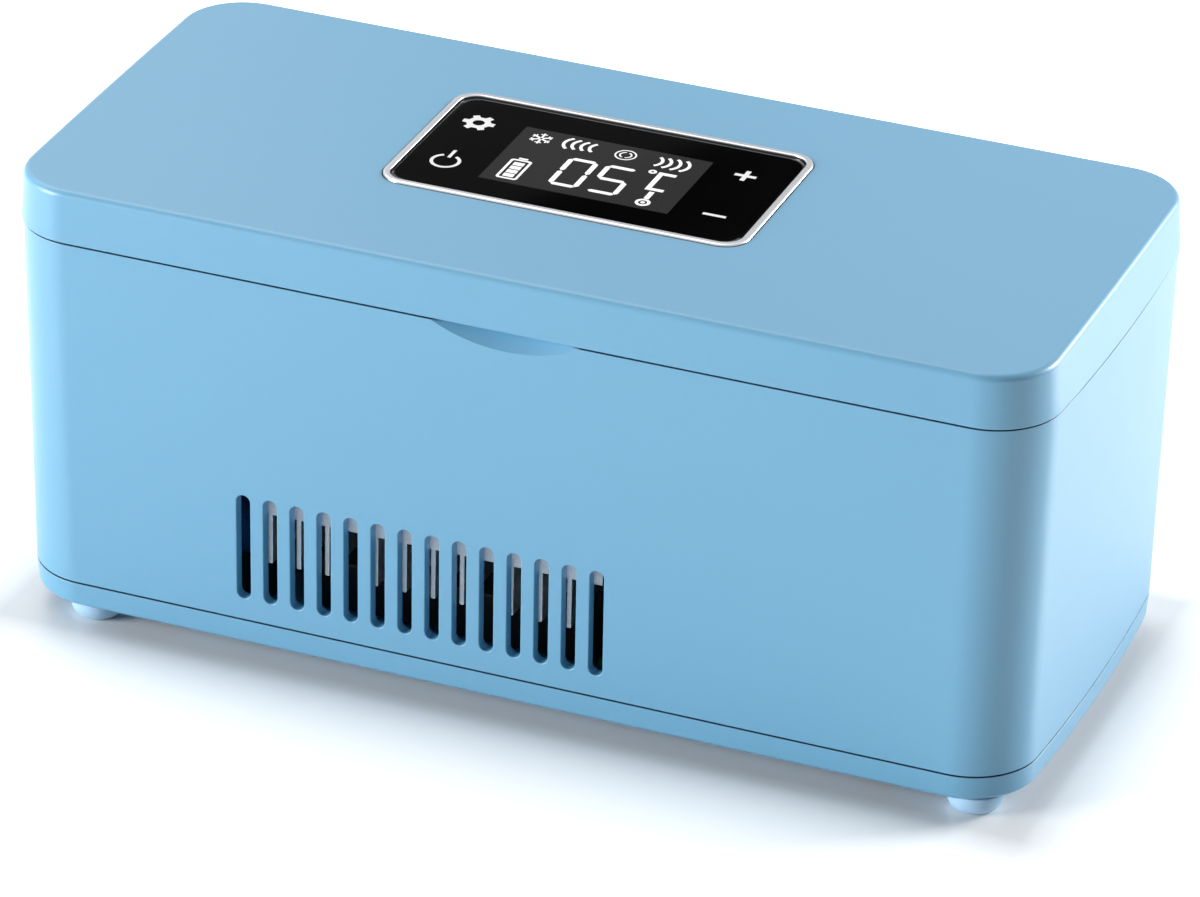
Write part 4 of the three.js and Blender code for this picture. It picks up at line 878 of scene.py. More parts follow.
# %% Body walls with knuckles
BODY_Z = BAND_Z + GAP
body = solid("body_moulding", loft_by(
    body_outline, (BODY_Z, 0, LIP), (SEAM_Z, 0, LIP), (SEAM_Z, WALL, LIP), (BODY_Z, WALL, LIP),
    closed=True))
cut(body, "relief", *knuckle_reliefs(lid_knuckle_places))
join(body, "knuckles", *knuckles(body_knuckle_places))
print("body walls:", len(body.data.polygons), "faces")

# %% [markdown]
# The finger scoop is part of a large ball pressed into the upper front edge, with a wall of its
# own behind it. The ball is cut first with its wall, then hollowed.

# %% The finger scoop
SCOOP_WIDTH = 29.4 * MM
SCOOP_DROP = 3.6 * MM
SCOOP_DEPTH = 3.4 * MM
SCOOP_WALL = 1.6 * MM
face_radius = ((SCOOP_WIDTH / 2) ** 2 + SCOOP_DROP**2) / (2 * SCOOP_DROP)
scoop_stand = ((SCOOP_WIDTH / 2) ** 2 - SCOOP_DEPTH**2) / (2 * SCOOP_DEPTH)
scoop_radius = math.hypot(face_radius, scoop_stand)
scoop_middle = Vector((0, BODY_INSET - DEPTH / 2 - scoop_stand, SEAM_Z + face_radius - SCOOP_DROP))


def scoop_ball(grow, rings=96):
    radius = scoop_radius + grow
    angles = [math.pi * (i / rings - 0.5) for i in range(1, rings)]
    ball = turned([(radius * math.cos(a), radius * math.sin(a), 0) for a in angles], 2 * rings)
    return moved(ball, Matrix.Translation(scoop_middle))


scoop_half = SCOOP_WIDTH / 2 + SCOOP_WALL
scoop_back = solid("scoop_back", box(
    -scoop_half, scoop_half, WALL / 2 - DEPTH / 2, WALL + SCOOP_DEPTH + SCOOP_WALL - DEPTH / 2,
    SEAM_Z - SCOOP_DROP - SCOOP_WALL, SEAM_Z))
carve(scoop_back, solid("ball", scoop_ball(SCOOP_WALL)), "INTERSECT")
weld_on(body, scoop_back)
cut(body, "ball", scoop_ball(0))
print("scoop cut:", len(body.data.polygons), "faces")

# %% [markdown]
# The fourteen vents are one slot repeated along a row. The cutter widens where it passes the
# face, so each slot gets a rounded mouth, and it leans with the wall.

# %% The vents
SLOT_COUNT = 14
SLOT_PITCH = 5.413 * MM
SLOT_WIDTH = 2.75 * MM
SLOT_HEIGHT = 21.9 * MM
SLOT_MIDDLE = BASE_Z + 9.84 * MM + SLOT_HEIGHT / 2
SLOT_ROUND = 0.22 * MM


def stadium(length, width, steps=10):
    run = (length - width) / 2
    ends = [math.pi * i / steps - math.pi / 2 for i in range(steps + 1)]
    right = [(run + width / 2 * math.cos(a), width / 2 * math.sin(a)) for a in ends]
    return right + [(-x, -y) for x, y in right]


def slot_cutter(length, width, reach, mouth=SLOT_ROUND):
    """A slot along x that cuts down from z = 0 and widens smoothly where it meets that face."""
    wide = 2 * mouth + 2 * MM
    skim = 0.01 * MM
    return lofted([
        (stadium(length, width), -reach, 0),
        (stadium(length, width), 0, mouth),
        (stadium(length + wide, width + wide), skim, 0),
        (stadium(length + wide, width + wide), MM, 0),
    ])


def vent_row(side):
    """The row of slot cutters through the front (side -1) or rear wall (side 1)."""
    cutter = solid("vents", slot_cutter(SLOT_HEIGHT, SLOT_WIDTH, 2 * WALL))
    upright = Matrix.Rotation(side * -math.pi / 2, 4, "X") @ Matrix.Rotation(math.pi / 2, 4, "Z")
    lean = math.atan(BODY_TAPER / (SEAM_Z - BAND_Z))
    cutter.data.transform(Matrix.Rotation(side * -lean, 4, "X") @ upright)
    copy_by(cutter, row_tree, blue_shell, Count=SLOT_COUNT, Pitch=SLOT_PITCH)
    face_y = DEPTH / 2 - body_reach(SLOT_MIDDLE)
    cutter.data.transform(Matrix.Translation((THERMAL_X, side * face_y, SLOT_MIDDLE)))
    return cutter


carve(body, vent_row(-1))
carve(body, vent_row(1))
print("vents cut:", len(body.data.polygons), "faces")

# %% Bosses, brackets and the inlet's hole
BASE_SCREW = (72 * MM, 37.2 * MM)
BASE_BOSS_TOP = BASE_Z + 4.1 * MM
DECK_TOP = SEAM_Z - 1.6 * MM
DECK_Z = DECK_TOP - 2.6 * MM
LUG_PLACES = [share * LENGTH for share in (-0.39, -0.15, 0.11, 0.39)]
JACK_X = 58 * MM
JACK_Z = 19.2 * MM
JACK_COLLAR = 4.2 * MM
BODY_BOSS = 3.4 * MM
BODY_BOSS_TOP = BASE_BOSS_TOP + 12.6 * MM
WEB_HALF = 0.95 * MM
WEB_Z, WEB_TOP = BAND_Z + 2.3 * MM, BODY_BOSS_TOP - 0.2 * MM
LUG_REACH, LUG_DROP, LUG_BITE = 3.2 * MM, 6 * MM, 0.6 * MM
M3_HOLE = 1.8 * MM
PILOT_TOP = BASE_BOSS_TOP + 12 * MM
JACK_SIDES = 48
four_corners = [(sx, sy) for sx in (-1, 1) for sy in (-1, 1)]


def corner_places(size_x, size_y, x=0.0, y=0.0):
    return [(x + sx * size_x / 2, y + sy * size_y / 2) for sx, sy in four_corners]


def body_boss(x, y):
    """A boss for a base screw, and the web that ties it to the wall."""
    wall_y = math.copysign(DEPTH / 2 - body_reach(BAND_Z) - WALL / 2, y)
    web = box(x - WEB_HALF, x + WEB_HALF, min(y, wall_y), max(y, wall_y), WEB_Z, WEB_TOP)
    return post(BODY_BOSS, x, y, BASE_BOSS_TOP + SEAT, BODY_BOSS_TOP), web


def deck_lug(x, side):
    """A small three-sided bracket under the deck."""
    wall_y = DEPTH / 2 - body_reach(DECK_Z) - WALL
    top = DECK_Z - SEAT
    inside_wall = wall_y + LUG_BITE
    outline = [(wall_y - LUG_REACH, top), (inside_wall, top - LUG_DROP), (inside_wall, top)]
    points, faces = prism(outline, x - MM, x + MM)
    turned_points = [Vector((p.z, side * p.x, p.y)) for p in points]
    return turned_points, [tuple(reversed(face)) for face in faces] if side < 0 else faces


boss_places = corner_places(2 * BASE_SCREW[0], 2 * BASE_SCREW[1])
bosses, webs = zip(*[body_boss(x, y) for x, y in boss_places])
join(body, "bosses", *bosses)
join(body, "webs", *webs)
join(body, "lugs", *[deck_lug(x, side) for x in LUG_PLACES for side in (-1, 1)])
cut(body, "pilots", *posts(M3_HOLE, boss_places, BAND_Z - MM, PILOT_TOP, HOLE_SIDES))
cut(body, "pin_bores", *pin_bores)
cut_cable_way(body, -1)
cut(body, "inlet", bar_y(JACK_COLLAR + GAP, REAR_Y - 5 * MM, REAR_Y + MM, JACK_X, JACK_Z, JACK_SIDES))
finish_piece(body, "case", blue_shell, ["body_shell"])

# %% [markdown]
# ## The base and its feet
# The base is a shallow tray. One loft makes it: up the outside, over the rim, up and down the lip
# that closes the seam from behind, and down to the inner floor.

# %% The base tray
LIP_HEIGHT = 2 * MM
LIP_INSET = WALL + GAP
LIP_WALL = 1.2 * MM
FAN_Z = BASE_Z + 3 * MM
FAN_SCREWS = 50 * MM
BOARD_TOP = BASE_Z + 9.6 * MM
BOARD_Z = BOARD_TOP - 1.6 * MM
BOARD_PEGS = (32.75 * MM, 48 * MM)
BOARD_X = 41.5 * MM
CAP_INSET = 3 * MM
BOTTOM_ROUND = 0.6 * MM
FAN_HOLE = 1.7 * MM
FOOT_HOLE = 2.3 * MM

BOSS_ROOM, BASE_BOSS, FAN_POST, BOARD_SEAT, BOARD_PEG = 3.7 * MM, 4.7 * MM, 3.3 * MM, 2.1 * MM, MM

lip_top = BAND_Z + LIP_HEIGHT
lip_inner = LIP_INSET + LIP_WALL
base = solid("base_tray", loft_by(
    body_outline,
    (BASE_Z, BOTTOM_CHAMFER + CAP_INSET, 0),
    (BASE_Z, BOTTOM_CHAMFER, BOTTOM_ROUND),
    (BASE_Z + BOTTOM_CHAMFER, 0, BOTTOM_ROUND),
    (BAND_Z, 0, LIP),
    (BAND_Z, LIP_INSET, 0),
    (lip_top, LIP_INSET, LIP),
    (lip_top, lip_inner, LIP),
    (FLOOR_Z, lip_inner, 0.5 * MM),
    (FLOOR_Z, lip_inner + CAP_INSET, 0)))
fan_places = corner_places(FAN_SCREWS, FAN_SCREWS, THERMAL_X)
peg_places = corner_places(*BOARD_PEGS, BOARD_X)
root = BASE_Z + MM
cut(base, "room", *posts(BOSS_ROOM, boss_places, BASE_BOSS_TOP, lip_top + MM))
join(base, "bosses", *posts(BASE_BOSS, boss_places, root, BASE_BOSS_TOP))
join(base, "fan_posts", *posts(FAN_POST, fan_places, root, FAN_Z - SEAT))
join(base, "board_seats", *posts(BOARD_SEAT, peg_places, root, BOARD_Z - SEAT))
join(base, "board_pegs", *posts(BOARD_PEG, peg_places, root, BOARD_TOP + MM, 20))
print("base tray:", len(base.data.polygons), "faces")

# %% Openings in the base
FOOT_SPREAD = (175.3 * MM, 75.6 * MM)
FOOT_MIDDLE = (2.35 * MM, 0, 0)
INTAKE_PITCH = 5.6 * MM
INTAKE_WIDTH = 3 * MM
INTAKE_REACH = 26.3 * MM
WELL_MOUTH, WELL, WELL_DEPTH = 3.4 * MM, 3.1 * MM, 2.1 * MM

screw_well = solid("screw_well", turned([
    (WELL_MOUTH, -MM, 0), (WELL_MOUTH, 0, 0), (WELL, 0.3 * MM, 0), (WELL, WELL_DEPTH, 0),
    (M3_HOLE, WELL_DEPTH, 0), (M3_HOLE, 6 * MM, 0)]))
copy_by(screw_well, corner_tree, blue_shell,
        Length=2 * BASE_SCREW[0], Depth=2 * BASE_SCREW[1], Middle=(0, 0, BASE_Z))
carve(base, screw_well)
foot_places = corner_places(*FOOT_SPREAD, FOOT_MIDDLE[0])
cut(base, "foot_holes", *posts(FOOT_HOLE, foot_places, BASE_Z - MM, FLOOR_Z + MM, HOLE_SIDES))
cut(base, "fan_pilots", *posts(FAN_HOLE, fan_places, BASE_Z + GAP, FAN_Z, HOLE_SIDES))


def intake_slot(step):
    x = step * INTAKE_PITCH
    length = 2 * math.sqrt(INTAKE_REACH**2 - x**2)
    face_down = Matrix.Rotation(math.pi, 4, "X") @ Matrix.Rotation(math.pi / 2, 4, "Z")
    place = Matrix.Translation((THERMAL_X + x, 0, BASE_Z))
    return moved(slot_cutter(length, INTAKE_WIDTH, WALL + MM), place @ face_down)


intake_half = math.floor((INTAKE_REACH - INTAKE_WIDTH) / INTAKE_PITCH)
cut(base, "intake", *[intake_slot(step) for step in range(-intake_half, intake_half + 1)])
finish_piece(base, "case", blue_shell, ["base_plate"])

# %% The feet
FOOT = 5.2 * MM
FOOT_SOLE = 2.8 * MM
FOOT_DOME = 2.4 * MM
FOOT_STEM, FOOT_STEM_TOP = 2 * MM, 7.2 * MM
DOME_STEPS = 10
dome = [math.pi / 2 * i / DOME_STEPS for i in range(DOME_STEPS + 1)]
feet = solid("feet", turned([
    *[(FOOT_SOLE + (FOOT - FOOT_SOLE) * math.sin(a), FOOT_DOME * (1 - math.cos(a)), 0) for a in dome],
    (FOOT, BASE_Z, 0.4 * MM), (FOOT_STEM, BASE_Z, 0), (FOOT_STEM, FOOT_STEM_TOP, 0.4 * MM),
    (MM, FOOT_STEM_TOP, 0)], 40))
copy_by(feet, corner_tree, pale_foot, Length=FOOT_SPREAD[0], Depth=FOOT_SPREAD[1], Middle=FOOT_MIDDLE)
foot_nodes = ["foot_front_left", "foot_rear_left", "foot_front_right", "foot_rear_right"]
finish_piece(feet, "case", pale_foot, foot_nodes)

# %% [markdown]
# ## Screws
# A screw is a turned blank with a cross cut into its head. It is made once, and the corners tree
# sets four of it, so each set of screws is one piece that stands for four nodes.


# %% The screw sets
def screw_set(name, body, head, length, size, middle, down=False):
    """Four screws: head is (radius, height, shank radius); they point up unless down is set."""
    head_radius, head_height, shank = head
    blank = solid(name, turned([
        (0.3 * head_radius, -head_height, 0),
        (0.85 * head_radius, -head_height, 0.4 * head_height),
        (head_radius, -0.4 * head_height, 0.2 * head_height),
        (head_radius, 0, 0),
        (shank, 0, 0),
        (shank, length - shank, 0),
        (0.15 * shank, length, 0)], 24))
    arm, half, deep = 0.52 * head_radius, 0.1 * head_radius, -0.45 * head_height
    for x, y in ((arm, half), (half, arm)):
        cut(blank, "cross", box(-x, x, -y, y, -head_height - MM, deep))
    if down:
        blank.data.transform(Matrix.Rotation(math.pi, 4, "X"))
    copy_by(blank, corner_tree, zinc_steel, Length=size[0], Depth=size[1], Middle=middle)
    nodes = [f"{name[:-1]}_{side}_{end}" for side in ("left", "right") for end in ("front", "rear")]
    finish_piece(blank, body, zinc_steel, nodes)


PLATE_Z = 30.8 * MM
CLAMPS = (2 * 13.5 * MM, 49 * MM)
FIN_SHIFT = -1.4 * MM
INNER_Z = LID_Z + SEAT
LID_SCREW = (88 * MM, 33 * MM)
screw_set("base_screws", "case", (2.8 * MM, 1.8 * MM, 1.5 * MM), 12 * MM,
          (2 * BASE_SCREW[0], 2 * BASE_SCREW[1]), (0, 0, BASE_Z + 2 * MM))
screw_set("clamp_screws", "case", (2.7 * MM, 1.8 * MM, 1.5 * MM), 15.8 * MM,
          CLAMPS, (THERMAL_X + FIN_SHIFT, 0, PLATE_Z - SEAT))
screw_set("fan_screws", "case", (2.6 * MM, 1.6 * MM, 1.4 * MM), 12.2 * MM,
          (FAN_SCREWS, FAN_SCREWS), (THERMAL_X, 0, FAN_Z + 10.1 * MM), down=True)
screw_set("lid_screws", "lid", (2.5 * MM, 1.1 * MM, 1.25 * MM), 6 * MM,
          (2 * LID_SCREW[0], 2 * LID_SCREW[1]), (0, 0, INNER_Z - SEAT))

# %% [markdown]
# ## The lid
# The lid shell is a shallow cover with a small round along its top edge. It is lofted from the
# ceiling inside, down its inner wall, round the lip, up the outside and over the round.

# %% The lid shell
PANEL = (72 * MM, 42 * MM)
PANEL_CORNER = 5 * MM
PANEL_X = -2.1 * MM
PANEL_Y = 3.6 * MM
BEZEL_WIDTH = 1.4 * MM
BEZEL_PROUD = 0.4 * MM
POCKET = 1.25 * MM
PANEL_FIT = 0.15 * MM
PANEL_LEDGE = 3 * MM
INNER_TOP = INNER_Z + 1.6 * MM
DISPLAY_BOARD_TOP = 87.8 * MM
LID_BOSS, STANDOFF = 3.15 * MM, 2.1 * MM
STANDOFFS = (63.8 * MM, 34.8 * MM)
LID_CAP = 8 * MM
LID_HOLE = 1.55 * MM
OPENING_CORNER = 3 * MM
panel_plan = upright(*PANEL, PANEL_CORNER, PANEL_X, PANEL_Y)

lid = solid("lid_cover", loft_by(
    lid_outline,
    (CEILING_Z, WALL + LID_CAP, 0),
    (CEILING_Z, WALL, MM),
    (LID_Z, WALL, LIP),
    (LID_Z, 0, LID_LIP),
    (TOP_Z, 0, TOP_FILLET),
    (TOP_Z, LID_CAP, 0),
    steps=7))
cut(lid, "relief", *knuckle_reliefs(body_knuckle_places))
lid_boss_places = corner_places(2 * LID_SCREW[0], 2 * LID_SCREW[1])
standoff_places = corner_places(*STANDOFFS, PANEL_X, PANEL_Y)
inside_lid = CEILING_Z + BITE
join(lid, "lid_bosses", *posts(LID_BOSS, lid_boss_places, INNER_TOP + SEAT, inside_lid))
join(lid, "standoffs", *posts(STANDOFF, standoff_places, DISPLAY_BOARD_TOP + SEAT, inside_lid))
join(lid, "knuckles", *knuckles(lid_knuckle_places))
cut(lid, "pocket", straight(panel_plan, -PANEL_FIT, TOP_Z - POCKET, TOP_Z + MM))
ledge = 2 * (BEZEL_WIDTH + PANEL_LEDGE)
opening = plate_outline(PANEL[0] - ledge, PANEL[1] - ledge, OPENING_CORNER, PANEL_X, PANEL_Y)
cut(lid, "opening", prism(opening, CEILING_Z - MM, TOP_Z + MM))
cut(lid, "lid_pilots", *posts(LID_HOLE, lid_boss_places, LID_Z, INNER_Z + 6.3 * MM, HOLE_SIDES))
cut(lid, "pin_bores", *pin_bores)
cut_cable_way(lid, 1)
finish_piece(lid, "lid", blue_shell, ["lid_shell"])

# %% The bezel and the glass
BEZEL_Z = TOP_Z - POCKET + SEAT / 2
BEZEL_TOP = TOP_Z + BEZEL_PROUD
GLASS_TOP = BEZEL_Z + 1.1 * MM
bezel = solid("bezel_frame", loft_by(
    panel_plan, (BEZEL_Z, 0, 0), (BEZEL_TOP, 0, 0.45 * MM), (BEZEL_TOP, BEZEL_WIDTH, 0.25 * MM),
    (BEZEL_Z, BEZEL_WIDTH, 0), closed=True))
finish_piece(bezel, "lid", silver_trim, ["panel_bezel"])

glass_inset = BEZEL_WIDTH + PANEL_FIT
glass = solid("glass_plate", loft_by(
    panel_plan, (BEZEL_Z, glass_inset, 0), (GLASS_TOP, glass_inset, 0.2 * MM),
    (GLASS_TOP, glass_inset + MM, 0)))
finish_piece(glass, "lid", panel_black, ["panel_glass"])

# %% [markdown]
# ## Signs on the panel
# The key signs are printed white and the display's segments are lit, so both are thin raised
# films on the glass. A bent stroke is a ribbon of quads, and a closed shape is a flat outline.


# %% Ribbons and plates
SIGN_Z = GLASS_TOP - 0.01 * MM
SIGN_TOP = GLASS_TOP + 0.02 * MM


def millimetres(points):
    return [(x * MM, y * MM) for x, y in points]


def arc(x, y, radius, start, end, steps=16):
    """Points of an arc in millimetres, with its angles in degrees."""
    angles = [math.radians(start + (end - start) * i / steps) for i in range(steps + 1)]
    return [(x + radius * math.cos(a), y + radius * math.sin(a)) for a in angles]


def ribbon(points, width):
    """A flat stroke of a width through points, with square ends; sizes in millimetres."""
    path = [Vector(point) for point in points]
    corners = []
    for i, point in enumerate(path):
        before = (point - path[i - 1]).normalized() if i else None
        after = (path[i + 1] - point).normalized() if i + 1 < len(path) else None
        into, out = before or after, after or before
        middle = (into + out).normalized()
        side = Vector((-middle.y, middle.x)) * width / 2 / max(0.5, middle.dot(into))
        for edge_point, z in ((point + side, SIGN_Z), (point - side, SIGN_Z),
                              (point - side, SIGN_TOP), (point + side, SIGN_TOP)):
            corners.append(Vector((edge_point.x * MM, edge_point.y * MM, z)))
    faces = [(0, 1, 2, 3)]
    for i in range(len(path) - 1):
        for k in range(4):
            n = (k + 1) % 4
            faces.append((4 * i + k, 4 * i + 4 + k, 4 * i + 4 + n, 4 * i + n))
    last = 4 * len(path) - 4
    faces.append((last + 3, last + 2, last + 1, last))
    return corners, faces


def plate(points):
    return prism(millimetres(points), SIGN_Z, SIGN_TOP)


def frame_of(outer, inner):
    outer, inner = millimetres(outer), millimetres(inner)
    return lofted([(outer, SIGN_Z, 0), (outer, SIGN_TOP, 0), (inner, SIGN_TOP, 0), (inner, SIGN_Z, 0)],
                  closed=True)


def ring(x, y, outer, inner, sides=32):
    return frame_of(circle(outer, sides, x, y), circle(inner, sides, x, y))


def bar(x0, x1, y0, y1):
    return plate([(x0, y0), (x1, y0), (x1, y1), (x0, y1)])


# %% Key signs
GEAR_X, GEAR_Y = -29.9, 12.8
TOOTH_TOP, TOOTH_FOOT, GEAR_HOLE = 3.2, 2.3, 1.15
tooth = [(-18, TOOTH_FOOT), (-11, TOOTH_TOP), (11, TOOTH_TOP), (18, TOOTH_FOOT), (30, TOOTH_FOOT)]
gear_points = [(math.radians(60 * i + angle), radius) for i in range(6) for angle, radius in tooth]
gear = frame_of(
    [(GEAR_X + radius * math.cos(a), GEAR_Y + radius * math.sin(a)) for a, radius in gear_points],
    [(GEAR_X + GEAR_HOLE * math.cos(a), GEAR_Y + GEAR_HOLE * math.sin(a)) for a, _ in gear_points])
POWER_X, POWER_Y = -29.2, -4.8
power = [ribbon(arc(POWER_X, POWER_Y, 2.6, 118, 422, 40), 0.65),
         ribbon([(POWER_X, POWER_Y + 4.9), (POWER_X, POWER_Y + 1.6)], 0.65)]
arm, half = 2.1, 0.45
plus_points = [(-half, -arm), (half, -arm), (half, -half), (arm, -half), (arm, half), (half, half),
               (half, arm), (-half, arm), (-half, half), (-arm, half), (-arm, -half), (-half, -half)]
PLUS_X, PLUS_Y = 23.6, 12.1
plus = plate([(PLUS_X + x, PLUS_Y + y) for x, y in plus_points])
minus = bar(22.0, 26.5, -6.0, -5.2)
key_signs = solid("key_signs", gear, *power, plus, minus)
finish_piece(key_signs, "lid", key_print)

# %% [markdown]
# The display shows two digits, a degree sign with a C, and small signs for cooling, fan, battery and
# probe. A digit is built from pointed segments, as on a real segment display.


# %% Display segments
def segment(x0, y0, x1, y1, width=1.0):
    """One pointed segment between two corners of a digit."""
    start, end = Vector((x0, y0)), Vector((x1, y1))
    way = (end - start).normalized()
    side = Vector((-way.y, way.x)) * width / 2
    start, end = start + way * 0.08, end - way * 0.08
    tip = way * width / 2
    corners = [start, start + tip - side, end - tip - side, end, end - tip + side, start + tip + side]
    return plate([(p.x, p.y) for p in corners])


def digit(left, right, top, middle, bottom, shown):
    """A seven-segment digit; shown lists the letters of its lit segments."""
    runs = {
        "a": (left, top, right, top), "b": (right, middle, right, top), "c": (right, bottom, right, middle),
        "d": (left, bottom, right, bottom), "e": (left, bottom, left, middle),
        "f": (left, middle, left, top), "g": (left, middle, right, middle),
    }
    return [segment(*runs[letter]) for letter in shown]


def snowflake(x, y):
    """Six arms, each with a pair of short barbs near its end."""
    strokes = []
    middle = Vector((x, y))
    for step in range(6):
        way = Vector((math.sin(step * math.pi / 3), math.cos(step * math.pi / 3)))
        strokes.append(ribbon([middle + way * 0.3, middle + way * 2.2], 0.42))
        for side in (-1, 1):
            barb = Matrix.Rotation(side * math.radians(50), 2) @ way
            fork = middle + way * 1.3 + barb * 0.35
            strokes.append(ribbon([fork, fork + barb * 0.45], 0.28))
    return strokes


def waves(tips, heights, y, side):
    """Arcs like brackets: tips are where they bulge to, towards side."""
    turn = 0 if side > 0 else 180
    strokes = []
    for tip, height in zip(tips, heights):
        radius = 0.62 * height
        spread = math.degrees(math.asin(height / 2 / radius))
        strokes.append(ribbon(arc(tip - side * radius, y, radius, turn - spread, turn + spread), 0.62))
    return strokes


zero = digit(-8.25, -3.3, 5.7, 0.3, -5.25, "abcdef")
five = digit(-0.85, 4.45, 5.7, 0.3, -5.25, "acdfg")
degrees = ring(7.4, 6.7, 0.8, 0.3)
celsius = ribbon([(12.1, 6.55), (9.15, 6.55), (9.15, -0.2), (12.2, -0.2)], 1.0)
left_waves = waves((-12.1, -10.4, -8.65, -6.95), (4.5, 4.0, 3.7, 3.4), 11.5, -1)
right_waves = waves((7.5, 9.2, 11.0, 12.8), (3.7, 4.1, 4.5, 4.5), 11.1, 1)
WHIRL_X, WHIRL_Y = 0.25, 11.2
whirl = [ring(WHIRL_X, WHIRL_Y, 2.1, 1.8, 40), ribbon(arc(WHIRL_X, WHIRL_Y, 1.1, 100, 250, 12), 0.28),
         ribbon(arc(WHIRL_X, WHIRL_Y, 1.1, 280, 430, 12), 0.28)]
cell_middle = (-16.3, -2.9)
cell_outer = plate_outline(4.2, 8.4, 0.6, *cell_middle, 4)
cell_inner = plate_outline(3.2, 7.4, 0.3, *cell_middle, 4)
charge = [bar(-17.35, -15.25, y, y + 1.3) for y in (-6.15, -4.5, -2.85, -1.2)]
battery = [frame_of(cell_outer, cell_inner), bar(-17.2, -15.4, 1.5, 2.1), *charge]
PROBE_X, PROBE_Y = 10.4, -6.0
probe = [ribbon([(PROBE_X, PROBE_Y + 4.7), (PROBE_X, PROBE_Y + 1.65)], 1.0),
         ring(PROBE_X, PROBE_Y, 1.45, 0.85), plate(circle(0.45, 16, PROBE_X, PROBE_Y))]
segments = solid("display_segments", *zero, *five, degrees, celsius, *snowflake(-16.7, 11.3),
                 *left_waves, *right_waves, *whirl, *battery, *probe)
finish_piece(segments, "lid", lit_segment)

# %% [markdown]
# ## Under the lid
# Opened, the case shows the aluminium chamber in its white deck, and the white plug and its seal
# in the lid. Their edges are rounded as moulded and drawn parts are.

# %% The chamber
CHAMBER = (174 * MM, 52 * MM)
CHAMBER_CORNER = 8 * MM
CHAMBER_WALL = 1.2 * MM
CHAMBER_FLANGE = 4 * MM
CHAMBER_Z = 50.8 * MM
chamber_plan = upright(*CHAMBER, CHAMBER_CORNER)
flange = CHAMBER_WALL + CHAMBER_FLANGE
chamber = solid("chamber_liner", loft_by(
    chamber_plan,
    (CHAMBER_Z, 3 * MM, 0),
    (CHAMBER_Z, -CHAMBER_WALL, 2 * MM),
    (DECK_TOP - CHAMBER_WALL, -CHAMBER_WALL, LIP),
    (DECK_TOP - CHAMBER_WALL, -flange, LIP),
    (DECK_TOP, -flange, LIP),
    (DECK_TOP, 0, 0.8 * MM),
    (CHAMBER_Z + CHAMBER_WALL, 0, 2.5 * MM),
    (CHAMBER_Z + CHAMBER_WALL, 4 * MM, 0)))
finish_piece(chamber, "case", chamber_aluminium, ["cold_chamber"])

# %% The deck
MAGNET = (60 * MM, -36.5 * MM)
MAGNET_CUP = 4.5 * MM
MAGNET_BORE = 3.3 * MM
MAGNET_HEIGHT = 2.5 * MM
CABLE_CASE_X = CABLE_X + CABLE_ELBOW
CABLE_HALF = 1.4 * MM
magnet_places = [(-MAGNET[0], MAGNET[1]), MAGNET]
deck_edge = WALL + GAP
deck = solid("deck_plate", loft_by(
    body_outline, (DECK_Z, deck_edge + CAP_INSET, 0), (DECK_Z, deck_edge, LIP),
    (DECK_TOP, deck_edge, 0.5 * MM), (DECK_TOP, deck_edge + CAP_INSET, 0)))
above_deck = DECK_TOP + MM
cut(deck, "mouth", straight(chamber_plan, -(CHAMBER_WALL + GAP), DECK_Z - MM, above_deck))
cut(deck, "rebate", straight(chamber_plan, -(flange + GAP), DECK_TOP - CHAMBER_WALL - SEAT, above_deck))
cut(deck, "ball", scoop_ball(SCOOP_WALL + GAP))
cable_y = REAR_Y - 4.9 * MM
cut(deck, "channel", box(CABLE_CASE_X - CABLE_HALF, CABLE_CASE_X + CABLE_HALF, cable_y - CABLE_HALF,
                         REAR_Y, DECK_Z - MM, SEAM_Z - 2.45 * MM))
cut_cable_way(deck, -1)
cup_z = DECK_Z - MAGNET_HEIGHT - SEAT
join(deck, "cups", *posts(MAGNET_CUP, magnet_places, cup_z, DECK_Z + BITE))
cut(deck, "pockets", *posts(MAGNET_BORE, magnet_places, cup_z - MM, DECK_Z))
finish_piece(deck, "case", white_liner, ["deck_frame"])

# %% The lid's inner panel with its plug
PLUG = (168 * MM, 46 * MM)
PLUG_CORNER = 6 * MM
PLUG_WALL = 1.6 * MM
PLUG_Z = SEAM_Z - 5 * MM
inner = solid("inner_panel", loft_by(
    lid_outline, (INNER_Z, deck_edge + CAP_INSET, 0), (INNER_Z, deck_edge, 0.4 * MM),
    (INNER_TOP, deck_edge, LIP), (INNER_TOP, deck_edge + CAP_INSET, 0)))
plug_plan = upright(*PLUG, PLUG_CORNER)
join(inner, "plug", loft_by(plug_plan, (PLUG_Z, 2 * MM, 0), (PLUG_Z, 0, 1.2 * MM), (INNER_Z + MM, 0, 0)))
above_panel = INNER_TOP + MM
cup_top = INNER_TOP + MAGNET_HEIGHT
join(inner, "cups", *posts(MAGNET_CUP, magnet_places, INNER_TOP - BITE, cup_top))
cut(inner, "hollow", straight(plug_plan, PLUG_WALL, PLUG_Z + PLUG_WALL, above_panel))
cut(inner, "screw_holes", *posts(LID_HOLE, lid_boss_places, INNER_Z - MM, above_panel, HOLE_SIDES))
cut(inner, "pockets", *posts(MAGNET_BORE, magnet_places, INNER_TOP, cup_top + MM))
cut(inner, "relief", *knuckle_reliefs(body_knuckle_places))
cut(inner, "relief", *knuckle_reliefs(lid_knuckle_places))
cut_cable_way(inner, 1)
finish_piece(inner, "lid", white_liner, ["lid_inner_panel"])

